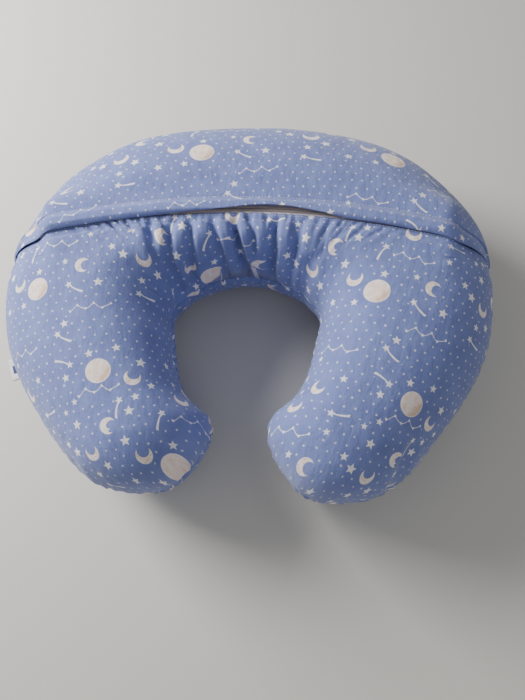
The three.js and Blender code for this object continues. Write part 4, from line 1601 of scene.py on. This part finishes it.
@dataclass
class Cover:
    """The printed cotton cover: upper, lower and base panels, sewn round the pillow."""

    form: PillowForm
    finishes: FinishSet
    cloth: float = 0.9
    upper_hem: float = 6.0
    lower_hem: float = 5.25
    fold_line: float = 13.2
    fold_steps: tuple = (12.6, 11.4, 8.5)
    fold_drops: tuple = (0.25, 1.1, 1.6, 1.6, 1.6)
    closed_gap: float = 0.15
    level_half: float = 198.0
    crest: float = 2.6
    dip: float = 1.6
    dip_edge: float = 17.0
    inner_puckers: float = 0.9
    creases: tuple = (
        LegCrease((176, -258), (150, -312), 3.2, 5.0),
        LegCrease((-128, -250), (-96, -256), 1.4, 2.6),
        LegCrease((-165, -285), (-150, -318), 2.2, 5.0),
    )
    lower_rows: int = 96
    upper_rows: int = 56
    base_rows: int = 84

    def __post_init__(self) -> None:
        """Works out where the zip's opening closes towards the side seams."""
        self.relief = ClothRelief(self.form)
        s = np.linspace(0, self.form.zip_end, 1200)
        point = self.form.point(s, np.maximum(self.form.angle_at_offset(s, 0.0), 1e-3))
        angle, _ = self.form.zip_polar(point[:, 0], point[:, 1])
        self.level_end = float(np.interp(self.level_half / self.form.zip_radius, angle, s))
        self.close_start = (self.level_end + self.form.zip_end) / 2

    def hem_line(self, s: Array, hem: float) -> Array:
        """Offset of a hem from the zip's middle, closing up towards the side seam."""
        closed = smooth((np.abs(s) - self.close_start) / (self.form.zip_end - self.close_start))
        return hem + (math.copysign(self.closed_gap, hem) - hem) * closed

    def hem_dip(self, points: Array, v: Array) -> Array:
        """How far the hems lie under the face beside the zip."""
        _, offset = self.form.zip_polar(points[..., 0], points[..., 1])
        return self.dip * smooth((self.dip_edge - np.abs(offset)) / 3) * smooth(np.sin(v) / 0.5)

    def panel_grid(self, panel: Panel, s: Array, low: Array, high: Array, count: int) -> PanelGrid:
        """Grid of one panel on the smooth form.

        Args:
            panel: Which panel.
            s: Stations of the columns.
            low: Section angle of the first row, for each column.
            high: Section angle of the last row, for each column.
            count: Number of rows.

        Returns:
            The grid.
        """
        v = section_rows(self.form, s, low, high, count)
        stations = np.repeat(s[:, None], count, 1)
        place = self.form.cloth_place(stations, v, panel)
        return PanelGrid(stations, v, self.form.point(stations, v), place)

    def edge_distance(self, grid: PanelGrid) -> tuple[Array, Array]:
        """Distance over the cloth from the first row, and its length to the last one.

        Args:
            grid: The grid.

        Returns:
            Both lengths at each grid point, in millimetres.
        """
        steps = np.linalg.norm(np.diff(grid.points, axis=1), axis=-1)
        away = np.concatenate([np.zeros((len(steps), 1)), np.cumsum(steps, 1)], 1)
        return away, np.repeat(away[:, -1:], away.shape[1], 1)

    def seam_run(self, grid: PanelGrid, row: int) -> Array:
        """Length along a seam at each column, from the middle of the back.

        Args:
            grid: The grid.
            row: Row that lies on the seam.

        Returns:
            The length at each grid point, negative on the left.
        """
        edge = grid.points[:, row]
        steps = np.linalg.norm(np.diff(edge, axis=0), axis=-1)
        run = np.concatenate([[0], np.cumsum(steps)])
        middle = len(run) // 2
        return np.repeat((run - run[middle])[:, None], grid.s.shape[1], 1)

    def lower_grid(self) -> PanelGrid:
        """The lower panel, with its gathers, folds and seams.

        Returns:
            Its grid.
        """
        s = self.form.columns()
        hem = self.hem_line(s, -self.lower_hem)
        inside = np.abs(s) < self.form.zip_end
        low = np.where(inside, self.form.angle_at_offset(s, hem), 0.0)
        grid = self.panel_grid(Panel.LOWER, s, low, np.full(len(s), np.pi), self.lower_rows)
        away, run = self.edge_distance(grid)
        spacing = np.linalg.norm(np.gradient(grid.points, axis=0), axis=-1)
        spacing = spacing / np.maximum(np.gradient(grid.s, axis=0), 1e-3)
        spacing = np.clip(spacing, 0.15, 3.0)
        height = self.relief.lumps(grid.points)
        height += self.relief.gathers(grid.s, away, run, spacing)
        height += self.relief.folds(grid.s, away / np.maximum(run, 1e-3), spacing)
        inner_run, outer_run = self.seam_run(grid, -1), self.seam_run(grid, 0)
        inner = self.relief.seam_relief(
            inner_run, run - away, Seed.INNER_SEAM, self.inner_puckers
        )
        height += inner
        outside = smooth((np.abs(grid.s) - self.form.zip_end + 4) / 8)
        height += outside * self.relief.seam_relief(outer_run, away, Seed.OUTER_SEAM)
        height += self.leg_creases(grid)
        height = np.where(height > 0, self.crest * np.tanh(height / self.crest), height)
        height = self.relief.calm_at_tag(grid.points, height)
        raised = grid.raised(self.form, height - self.hem_dip(grid.points, grid.v))
        self.ease_cloth(raised, height, spacing)
        return raised

    def ease_cloth(self, grid: PanelGrid, height: Array, spacing: Array, reach: float = 16.0) -> None:
        """Feeds more of the flat cloth into the sides of the folds, and less into their crests.

        Args:
            grid: The panel; its places on the flat cloth are changed.
            height: Height of the folds at each grid point.
            spacing: Millimetres of cloth per millimetre of station.
            reach: Half-width over which the cloth evens out, in millimetres of station.
        """
        step = np.diff(grid.s, axis=0) * 0.5 * (spacing[1:] + spacing[:-1])
        extra = np.hypot(step, np.diff(height, axis=0)) - step
        run = np.concatenate([np.zeros((1, extra.shape[1])), np.cumsum(extra, 0)])
        s = grid.s[:, 0]
        weight = np.exp(-(((s[:, None] - s[None, :]) / reach) ** 2))
        even = (weight / weight.sum(1, keepdims=True)) @ run
        ends = smooth((self.form.length - np.abs(grid.s)) / 40)
        along = unit(np.gradient(grid.cloth, axis=0))
        grid.cloth = grid.cloth + along * ((run - even) * ends)[..., None] * MM

    def leg_creases(self, grid: PanelGrid) -> Array:
        """A dart at the end of the right leg and a faint crease across the left one.

        Args:
            grid: The lower panel's smooth grid.

        Returns:
            Height, negative in the valleys.
        """
        x, y = grid.points[..., 0], grid.points[..., 1]
        height = np.zeros_like(x)
        for crease in self.creases:
            along = np.array(crease.end, float) - np.array(crease.start, float)
            span = np.linalg.norm(along)
            away_x, away_y = x - crease.start[0], y - crease.start[1]
            t = (away_x * along[0] + away_y * along[1]) / span**2
            off = (away_x * along[1] - away_y * along[0]) / span
            window = smooth((t + 0.1) / 0.3) * (1 - smooth((t - 0.85) / 0.3))
            depth = crease.depth * window
            beside = (np.abs(off) - 2 * crease.width) / crease.width
            height -= depth * np.exp(-((off / crease.width) ** 2)) * (grid.v < np.pi)
            height += 0.4 * depth * np.exp(-(beside**2))
        return height * smooth(np.sin(grid.v) / 0.15)

    def upper_grid(self) -> PanelGrid:
        """The crescent over the back, from the outer seam to the hem under the lap.

        Returns:
            Its grid.
        """
        s = self.form.columns()
        s = s[np.abs(s) < self.form.zip_end]
        s = np.concatenate([[-self.form.zip_end + 0.05], s, [self.form.zip_end - 0.05]])
        edge = self.form.angle_at_offset(s, self.hem_line(s, self.fold_line + 0.6))
        grid = self.panel_grid(Panel.UPPER, s, np.zeros(len(s)), edge, self.upper_rows)
        away, _ = self.edge_distance(grid)
        height = self.relief.lumps(grid.points)
        height += self.relief.seam_relief(self.seam_run(grid, 0), away, Seed.OUTER_SEAM)
        main = grid.raised(self.form, height)
        hems = []
        offsets = (self.fold_line, *self.fold_steps, self.upper_hem)
        for offset, drop in zip(offsets, self.fold_drops):
            line = self.hem_line(s, offset)
            v = self.form.angle_at_offset(s, line)
            share = smooth(np.sin(v) / 0.5)
            point = self.form.point(s, v)
            point[:, 2] -= drop * share
            hems.append((v, point))
        v = np.concatenate([main.v, np.stack([h[0] for h in hems], 1)], 1)
        points = np.concatenate([main.points, np.stack([h[1] for h in hems], 1)], 1)
        stations = np.repeat(s[:, None], v.shape[1], 1)
        return PanelGrid(stations, v, points, self.form.cloth_place(stations, v, Panel.UPPER))

    def base_grid(self) -> PanelGrid:
        """The plain panel underneath, pressed flat where it rests.

        Returns:
            Its grid.
        """
        s = self.form.columns()
        low, high = np.full(len(s), np.pi), np.full(len(s), 2 * np.pi)
        grid = self.panel_grid(Panel.BASE, s, low, high, self.base_rows)
        away, run = self.edge_distance(grid)
        height = self.relief.lumps(grid.points)
        inner_run, outer_run = self.seam_run(grid, 0), self.seam_run(grid, -1)
        height += self.relief.seam_relief(inner_run, away, Seed.INNER_SEAM, self.inner_puckers)
        height += self.relief.seam_relief(outer_run, run - away, Seed.OUTER_SEAM)
        raised = grid.raised(self.form, self.relief.calm_at_tag(grid.points, height))
        raised.points[..., 2] = np.maximum(raised.points[..., 2], 0.0)
        return raised

    def build(self) -> None:
        """Makes the three panels."""
        self.lower = self.lower_grid()
        self.upper = self.upper_grid()
        base = self.base_grid()
        for name, grid, panel in (
            ("upper_panel", self.upper, "cover_upper_panel"),
            ("lower_panel", self.lower, "cover_lower_panel"),
            ("base_panel", base, "cover_base_panel"),
        ):
            piece = cloth_shell(name, grid, self.form, self.cloth, self.finishes.cover)
            report(piece, Body.PILLOW, Slot.COVER, panel)


@dataclass
class ZipLap:
    """The fold of the upper panel that covers the zip, made in several lengths."""

    cover: Cover
    cloth: float = 1.1
    rise: float = 5.65
    rise_run: float = 9.5
    shoulder_rise: float = 2.6
    droop: float = 0.64
    closed_edge: float = -6.9
    opening_at: tuple = (-230.0, -90.0, -68.0, -34.0, -8.0, 16.0, 48.0, 78.0, 104.0, 230.0)
    opening: tuple = (0.0, 0.0, 1.9, 2.1, 5.6, 9.0, 8.6, 4.4, 0.8, 0.0)
    cuts: tuple = (-206.0, -150.0, -90.0, -30.0, 30.0, 90.0, 150.0, 206.0)
    rows: int = 16
    smoothing: int = 41
    waviness: float = 0.35
    crease: float = 0.3
    level_half: float = 200.0
    level_fade: float = 34.0
    droop_from: float = -2.9
    droop_run: float = 3.9
    root_shares: tuple = (0.0, 0.012, 0.035)
    root_sink: tuple = (-0.9, -0.35, -0.12)
    flat_share: float = 0.3

    def edge(self, along: Array) -> Array:
        """Offset of the folded edge: past the lower hem, but drawn back where the tape shows.

        Args:
            along: Places along the zip's arc, in millimetres.

        Returns:
            The offset at each place.
        """
        opening = np.interp(along, self.opening_at, self.opening)
        window = np.hanning(self.smoothing)
        padded = np.pad(opening, self.smoothing // 2, "edge")
        opening = np.convolve(padded, window / window.sum(), "valid")
        wave = self.waviness * SoftNoise(Seed.LAP_EDGE).at(along / 36, along * 0 + 3.5)
        return self.closed_edge + opening + wave

    def section(self, s: Array) -> tuple[Array, Array, Array]:
        """Section angles and heights over the face, from the fold line to the edge.

        Args:
            s: Stations of the columns.

        Returns:
            Angles and heights, one row of each array for each station, and arc positions.
        """
        form, cover = self.cover.form, self.cover
        middle = form.point(s, form.angle_at_offset(s, cover.hem_line(s, 1.0)))
        angle, _ = form.zip_polar(middle[:, 0], middle[:, 1])
        along = angle * form.zip_radius
        root = cover.fold_line + 0.5
        start = cover.hem_line(s, root)
        open_share = start / root
        roots = len(self.root_shares)
        shares = np.concatenate([self.root_shares, np.linspace(0.07, 1, self.rows - roots)])
        offsets = start[:, None] + ((self.edge(along) - root) * open_share)[:, None] * shares
        v = form.angle_at_offset(s[:, None], offsets)
        on_level = 1 - smooth((np.abs(along) - self.level_half) / self.level_fade)
        lift = (self.shoulder_rise + (self.rise - self.shoulder_rise) * on_level) * open_share
        run = (start[:, None] - 0.5 - offsets) / self.rise_run
        droop = self.droop * smooth((self.droop_from - offsets) / self.droop_run)
        crease = self.crease * SoftNoise(Seed.LAP_CREASES).at(along / 18, along * 0)[:, None]
        height = (lift[:, None] * (1 - droop) + crease) * smooth(run)
        sink = np.zeros(self.rows)
        sink[:roots] = self.root_sink
        return v, height + sink[None, :], along

    def build(self) -> None:
        """Makes the lengths of the lap, and gives the middle ones meshes of their own."""
        form = self.cover.form
        s = self.cover.upper.s[:, 0]
        v, height, along = self.section(s)
        top = form.point(s[:, None], v)
        height += self.cover.relief.lumps(top)
        top[..., 2] += height * smooth(np.sin(v) / 0.3)
        stations = np.repeat(s[:, None], v.shape[1], 1)
        cloth = form.cloth_place(stations, v, Panel.UPPER)
        marks = [0, *(int(np.argmin(np.abs(along - cut))) for cut in self.cuts), len(s) - 1]
        names = ["left_end", *(f"{i}" for i in range(1, len(self.cuts))), "right_end"]
        normal = PanelGrid(stations, v, top, cloth).normals(form)
        for k, name in enumerate(names):
            part = slice(marks[k], marks[k + 1] + 1)
            piece = self.length_of_lap(f"zip_lap_{name}", top[part], normal[part], cloth[part])
            report(piece, Body.PILLOW, Slot.COVER, "zip_lap")
            if "end" not in name:
                middle = float(along[marks[k]] + along[marks[k + 1]]) / 2 / form.zip_radius
                anchor = form.zip_point(middle, self.cover.fold_line - 0.6, form.zip_level) * MM
                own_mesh(piece)

    def length_of_lap(self, name: str, top: Array, normal: Array, cloth: Array) -> Piece:
        """Makes one length: cloth folded over at the edge and closed at both ends.

        Args:
            name: Name of the piece.
            top: Points of its upper face.
            normal: Outward direction at each point.
            cloth: Flat place of each point, in metres.

        Returns:
            The new object.
        """
        under = (top - normal * self.cloth)[:, ::-1]
        fold = top[:, -1:] - normal[:, -1:] * self.cloth / 2
        outward = unit(top[:, -1:] - top[:, -2:-1]) * self.cloth * 0.55
        loop = np.concatenate([top, fold + outward, under], 1)
        places = np.concatenate([cloth, cloth[:, -1:], cloth[:, ::-1]], 1)
        columns, rows = loop.shape[:2]
        faces = list(grid_faces(columns, rows))
        for i in range(columns - 1):
            faces.append((i * rows + rows - 1, i * rows, (i + 1) * rows, (i + 1) * rows + rows - 1))
        last = (columns - 1) * rows
        for j in range(rows // 2):
            ring = list(dict.fromkeys((j, j + 1, rows - 2 - j, rows - 1 - j)))
            faces.append(tuple(ring[::-1]))
            faces.append(tuple(last + k for k in ring))
        piece = new_object(name, loop.reshape(-1, 3), faces, self.cover.finishes.cover)
        for edge in piece.data.edges:
            column = {vertex // rows for vertex in edge.vertices}
            edge.use_edge_sharp = column in ({0}, {columns - 1})
        set_cloth_places(piece.data, places.reshape(-1, 2))
        weld(piece)
        return piece


@dataclass
class ZipChain:
    """Tapes, nylon coils, stops, slider and pull tab."""

    cover: Cover
    tape: float = 0.6
    tape_top: float = 159.0
    tape_edge: float = 15.0
    tape_droop: float = 3.0
    tape_droop_from: float = 5.2
    tape_droop_run: float = 4.0
    tape_inner: float = 1.1
    tape_rows: int = 8
    coil_level: float = 160.45
    coil_wire: float = 0.42
    coil_pitch: float = 2.0
    coil_centre: float = 1.7
    coil_reach: float = 0.9
    coil_rise: float = 0.65
    coil_steps: int = 10
    half_length: float = 182.0
    plated: tuple = (
        "zip_slider_body",
        "zip_pull_tab",
        "zip_top_stop_upper",
        "zip_top_stop_lower",
        "zip_bottom_stop",
    )

    def build(self) -> None:
        """Makes the tapes and coils, and gives the metal parts their finish."""
        for side, name in ((1, "upper"), (-1, "lower")):
            self.tape_strip(side, f"zip_tape_{name}_woven", f"zip_tape_{name}")
            self.coil(side, f"zip_coil_{name}_wound", f"zip_coil_{name}")
        for node in self.plated:
            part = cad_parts[node]
            part.data.materials.clear()
            part.data.materials.append(self.cover.finishes.metal)
            LOG.info("%s: plated", node)

    def tape_strip(self, side: int, name: str, node: str) -> None:
        """Makes one tape, level beside the zip and falling with the cover at its ends.

        Args:
            side: 1 for the upper side, -1 for the lower one.
            name: Name of the piece.
            node: The frame's solid that it stands for.
        """
        form, cover = self.cover.form, self.cover
        s = form.columns()
        s = s[np.abs(s) < cover.close_start]
        edges = (self.tape_inner, self.tape_edge - 1)
        offsets = side * np.linspace(*edges, self.tape_rows)[::-side]
        v = form.angle_at_offset(s[:, None], offsets[None, :])
        points = form.point(s[:, None], v)
        points[..., 2] += cover.relief.lumps(points) - (form.zip_level - self.tape_top)
        outer = smooth((np.abs(offsets) - self.tape_droop_from) / self.tape_droop_run)
        points[..., 2] -= self.tape_droop * outer[None, :]
        places = np.stack(np.broadcast_arrays(s[:, None], offsets[None, :]), -1) * MM
        grid = PanelGrid(np.repeat(s[:, None], self.tape_rows, 1), v, points, places)
        piece = cloth_shell(name, grid, form, self.tape, cover.finishes.tape)
        report(piece, Body.PILLOW, Slot.TAPE, node)

    def coil(self, side: int, name: str, node: str) -> None:
        """Makes one side's coil, wound in flattened turns that reach past the middle.

        Args:
            side: 1 for the upper side, -1 for the lower one.
            name: Name of the piece.
            node: The frame's solid that it stands for.
        """
        turns = 2 * self.half_length / self.coil_pitch
        phase = np.linspace(0, 1, int(turns * self.coil_steps) + 1)
        angle = (phase * 2 - 1) * self.half_length / self.cover.form.zip_radius
        wind = phase * turns * 2 * np.pi + (0 if side > 0 else np.pi)
        offset = side * (self.coil_centre - self.coil_reach * np.cos(wind))
        level = self.coil_level + self.coil_rise * np.sin(wind)
        path = self.cover.form.zip_point(angle, offset, level)
        vertices, faces = tube_mesh([path], [(self.coil_wire, self.coil_wire)], 5)
        piece = new_object(name, vertices, faces, self.cover.finishes.coil)
        report(piece, Body.PILLOW, Slot.COIL, node)


@dataclass
class Stitching:
    """Rows of separate stitches along the lap and along the lower hem."""

    cover: Cover
    stitch: float = 2.7
    gap: float = 0.6
    thread: float = 0.28
    arch: tuple = (-0.22, 0.06, 0.14, 0.06, -0.22)
    sunk: float = 0.15
    hem_inset: float = 2.2

    def stitches_along(self, name: str, path: Array, *nodes: str) -> None:
        """Makes a row of stitches that dip into the cloth at both ends.

        Args:
            name: Name of the piece.
            path: Points of the stitch line on the cloth's face.
            nodes: The frame's solids that it stands for.
        """
        steps = np.linalg.norm(np.diff(path, axis=0), axis=-1)
        run = np.concatenate([[0], np.cumsum(steps)])
        starts = np.arange(1.0, run[-1] - self.stitch - 1, self.stitch + self.gap)
        paths = []
        for start in starts:
            at = np.linspace(start, start + self.stitch, len(self.arch))
            points = np.stack([np.interp(at, run, path[:, k]) for k in range(3)], -1)
            points[:, 2] += np.array(self.arch)
            paths.append(points)
        vertices, faces = tube_mesh(paths, [(self.thread, self.thread * 0.8)] * len(paths), 6)
        piece = new_object(name, vertices, faces, self.cover.finishes.thread)
        report(piece, Body.PILLOW, Slot.THREAD, *nodes)

    def build(self) -> None:
        """Makes both rows."""
        cover, form = self.cover, self.cover.form
        s = cover.upper.s[:, 0]
        s = s[np.abs(s) < form.zip_end - 3]
        line = cover.hem_line(s, cover.fold_line)
        path = form.point(s, form.angle_at_offset(s, line))
        path[:, 2] -= self.sunk
        self.stitches_along("lap_topstitches", path, "lap_topstitching")
        away, _ = cover.edge_distance(cover.lower)
        inside = np.flatnonzero(np.abs(cover.lower.s[:, 0]) < cover.close_start)
        points = cover.lower.points
        edge = np.array(
            [[np.interp(self.hem_inset, away[i], points[i, :, k]) for k in range(3)] for i in inside]
        )
        self.stitches_along("lower_hem_stitches", edge)


@dataclass
class InnerPillow:
    """The unseen inner pillow: fibre filling in a white cotton casing."""

    cover: Cover
    casing_depth: float = 17.0
    casing_cloth: float = 0.8
    casing_rows: int = 40
    filling_depth: float = 20.5
    filling_rows: int = 72
    columns: int = 170
    crumple: float = 1.2
    seam_share: float = 0.8

    def layer(self, low: float, high: float, count: int, depth: float) -> PanelGrid:
        """Grid of one layer under the cover, closer to it at the seams.

        Args:
            low: Section angle of the first row.
            high: Section angle of the last row.
            count: Number of rows.
            depth: Depth under the cover's smooth form.

        Returns:
            The grid.
        """
        form = self.cover.form
        s = form.columns()
        s = s[np.unique(np.linspace(0, len(s) - 1, self.columns).round().astype(int))]
        v = section_rows(form, s, np.full(len(s), low), np.full(len(s), high), count)
        stations = np.repeat(s[:, None], count, 1)
        points = form.point(stations, v)
        panel = Panel.BASE if low else Panel.LOWER
        place = form.cloth_place(stations, np.clip(v, low, high), panel)
        x, y, z = points[..., 0], points[..., 1], points[..., 2]
        crumple = self.crumple * SoftNoise(Seed.FILLING).at(x / 22, y / 22 + z / 30)
        seam = np.abs(np.sin(v))
        share = self.seam_share + (1 - self.seam_share) * smooth(seam / 0.5)
        sunk = depth * share - crumple
        grid = PanelGrid(stations, v, points, place).raised(form, -sunk)
        grid.points[..., 2] = np.maximum(grid.points[..., 2], depth * 0.4)
        return grid

    def build(self) -> None:
        """Makes the casing's two halves and the filling."""
        form, finishes = self.cover.form, self.cover.finishes
        halves = {"top": 0.0, "base": np.pi}
        for half, low in halves.items():
            name, node = f"casing_{half}", f"inner_casing_{half}"
            grid = self.layer(low, low + np.pi, self.casing_rows, self.casing_depth)
            piece = cloth_shell(name, grid, form, self.casing_cloth, finishes.casing)
            report(piece, Body.PILLOW, Slot.CASING, node)
        grid = self.layer(0.0, 2 * np.pi, self.filling_rows, self.filling_depth)
        faces = grid_faces(*grid.s.shape)
        piece = new_object("fibre_mass", grid.points.reshape(-1, 3), faces, finishes.fibre)
        weld(piece, 1e-4)
        report(piece, Body.PILLOW, Slot.FIBRE, "fibre_filling")


@dataclass
class Labels:
    """The folded side tag and the care label inside the cover."""

    cover: Cover
    root: tuple = (-248.817, -179.762, 80.0)
    along: tuple = (0.3843, -0.9232, 0.0)
    outward: tuple = (-0.9232, -0.3843, 0.0)
    length: float = 25.0
    reach: float = 13.0
    ribbon: float = 0.45
    loop: float = 0.62
    root_in: float = 0.4
    tag_columns: int = 18
    tag_wave: float = 0.22
    care_columns: int = 16
    care_rows: int = 12
    care_curl: float = 0.12

    def side_tag(self) -> None:
        """Makes the tag: a ribbon folded in half, its two ends in the seam."""
        half = np.linspace(self.root_in, self.reach - self.loop, 14)
        swell = self.loop * smooth((half - self.root_in) / 5) + 0.02
        bend = np.linspace(0, np.pi, 7)[1:-1]
        reach = np.concatenate([half, half[-1] + self.loop * np.sin(bend), half[::-1]])
        level = np.concatenate([swell, swell[-1] * np.cos(bend), -swell[::-1]])
        run = np.linspace(-self.length / 2, self.length / 2, self.tag_columns)
        wave = self.tag_wave * np.sin(run / 3.4)[:, None] * smooth(reach / 8)[None, :]
        root, along, outward = (np.array(v) for v in (self.root, self.along, self.outward))
        up = np.array([0.0, 0.0, 1.0])
        outer = (
            root
            + run[:, None, None] * along
            + reach[None, :, None] * outward
            + (level[None, :] + wave)[..., None] * up
        )
        tangent = unit(np.gradient(outer, axis=1))
        side = unit(np.cross(tangent, along[None, None, :]))
        inner = outer - side * self.ribbon * (1 if side[0, 0, 2] > 0 else -1)
        vertices = np.concatenate([outer.reshape(-1, 3), inner.reshape(-1, 3)])
        faces = shell_faces(*outer.shape[:2])
        piece = new_object("side_tag_ribbon", vertices, faces, self.cover.finishes.label)
        u, w = np.broadcast_arrays((run + self.length / 2)[:, None], reach[None, :])
        places = np.stack([u, w], -1).reshape(-1, 2) * MM
        set_cloth_places(piece.data, np.concatenate([places, places]))
        face_outwards(piece)
        report(piece, Body.TAG, Slot.LABEL, "side_tag")

    def care_label(self) -> None:
        """Makes the small satin label that hangs in the seam inside the cover."""
        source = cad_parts["care_label"].data
        corners = np.array([v.co for v in source.vertices]) / MM
        centre = corners.mean(0)
        axes = np.linalg.svd(corners - centre)[2]
        spans = [(corners - centre) @ axis for axis in axes]
        u = np.linspace(spans[0].min(), spans[0].max(), self.care_columns)
        w = np.linspace(spans[1].min(), spans[1].max(), self.care_rows)
        curl = self.care_curl * np.sin(np.linspace(0, 3 * np.pi, self.care_columns))
        sheets = []
        for level in (spans[2].max() * 0.8, spans[2].min() * 0.8):
            grid = centre + u[:, None, None] * axes[0] + w[None, :, None] * axes[1]
            sheets.append(grid + (level + curl)[:, None, None] * axes[2])
        faces = shell_faces(self.care_columns, self.care_rows)
        vertices = np.concatenate([sheet.reshape(-1, 3) for sheet in sheets])
        piece = new_object("care_label_satin", vertices, faces, self.cover.finishes.care)
        a, b = np.broadcast_arrays((u - u[0])[:, None], (w - w[0])[None, :])
        places = np.stack([a, b], -1).reshape(-1, 2) * MM
        set_cloth_places(piece.data, np.concatenate([places, places]))
        face_outwards(piece)
        report(piece, Body.PILLOW, Slot.LABEL, "care_label")

    def build(self) -> None:
        """Makes both labels."""
        self.side_tag()
        self.care_label()


@dataclass(frozen=True)
class SoftLight:
    """One soft square light, in metres and watts."""

    name: str
    place: tuple[float, float, float]
    size: float
    power: float
    tint: Colour


@dataclass
class Studio:
    """Pale floor, soft light and the camera."""

    target: tuple = (20.642, -153.067, 82.0)
    azimuth: float = 10.771
    elevation: float = 72.237
    roll: float = -8.845
    distance: float = 675.33
    lens: float = 31.37
    sensor: float = 36.0
    floor_half: float = 4.0
    aim: tuple = (0.0, -0.1, 0.08)
    lights: tuple = (
        SoftLight("window", (-1.05, 0.38, 0.78), 0.7, 36.0, (1.0, 0.99, 0.975)),
        SoftLight("fill", (1.2, -1.3, 1.5), 2.0, 4.0, (1.0, 0.99, 0.97)),
    )
    sky: tuple = (0.97, 0.975, 1.0, 1.0)
    sky_strength: float = 0.34

    def camera(self) -> None:
        """Makes the camera and turns it on."""
        az, el, roll = (math.radians(v) for v in (self.azimuth, self.elevation, self.roll))
        back = Vector((math.sin(az) * math.cos(el), -math.cos(az) * math.cos(el), math.sin(el)))
        right = Vector((math.cos(az), math.sin(az), 0.0))
        up = right.cross(-back)
        turned_right = math.cos(roll) * right + math.sin(roll) * up
        turned_up = -math.sin(roll) * right + math.cos(roll) * up
        data = bpy.data.cameras.new("camera")
        data.lens = self.lens
        data.sensor_width = self.sensor
        data.clip_start, data.clip_end = 0.01, 20.0
        camera = bpy.data.objects.new("camera", data)
        bpy.context.scene.collection.objects.link(camera)
        place = (Vector(self.target) + back * self.distance) * MM
        turn = Matrix((turned_right, turned_up, back)).transposed().to_4x4()
        camera.matrix_world = Matrix.Translation(place) @ turn
        bpy.context.scene.camera = camera

    def floor(self) -> None:
        """Makes the ground that the pillow lies on."""
        h = self.floor_half / MM
        corners = [(-h, -h, 0), (h, -h, 0), (h, h, 0), (-h, h, 0)]
        finish = PlainFloor("pale_floor", 0.9).make()
        ground = new_object("floor", np.array(corners, float), [(0, 1, 2, 3)], finish)

    def light(self, soft: SoftLight) -> None:
        """Adds one soft square light.

        Args:
            soft: The light.
        """
        data = bpy.data.lights.new(soft.name, "AREA")
        data.size, data.energy, data.color = soft.size, soft.power, soft.tint
        lamp = bpy.data.objects.new(soft.name, data)
        bpy.context.scene.collection.objects.link(lamp)
        lamp.location = soft.place
        lamp.rotation_mode = "QUATERNION"
        back = Vector(soft.place) - Vector(self.aim)
        lamp.rotation_quaternion = back.to_track_quat("Z", "Y")

    def build(self) -> None:
        """Sets up the whole studio."""
        self.camera()
        self.floor()
        for soft in self.lights:
            self.light(soft)
        world = bpy.data.worlds.new("studio")
        bpy.context.scene.world = world
        world.use_nodes = True
        background = world.node_tree.nodes["Background"]
        background.inputs["Color"].default_value = self.sky
        background.inputs["Strength"].default_value = self.sky_strength


def main() -> None:
    """Builds the studio and every piece of the pillow, in order."""
    logging.basicConfig(level=logging.INFO, format="%(name)s: %(message)s")
    Studio().build()
    finishes = FinishSet()
    cover = Cover(PillowForm(), finishes)
    cover.build()
    ZipLap(cover).build()
    ZipChain(cover).build()
    Stitching(cover).build()
    InnerPillow(cover).build()
    Labels(cover).build()
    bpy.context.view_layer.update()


if __name__ == "__main__":
    main()
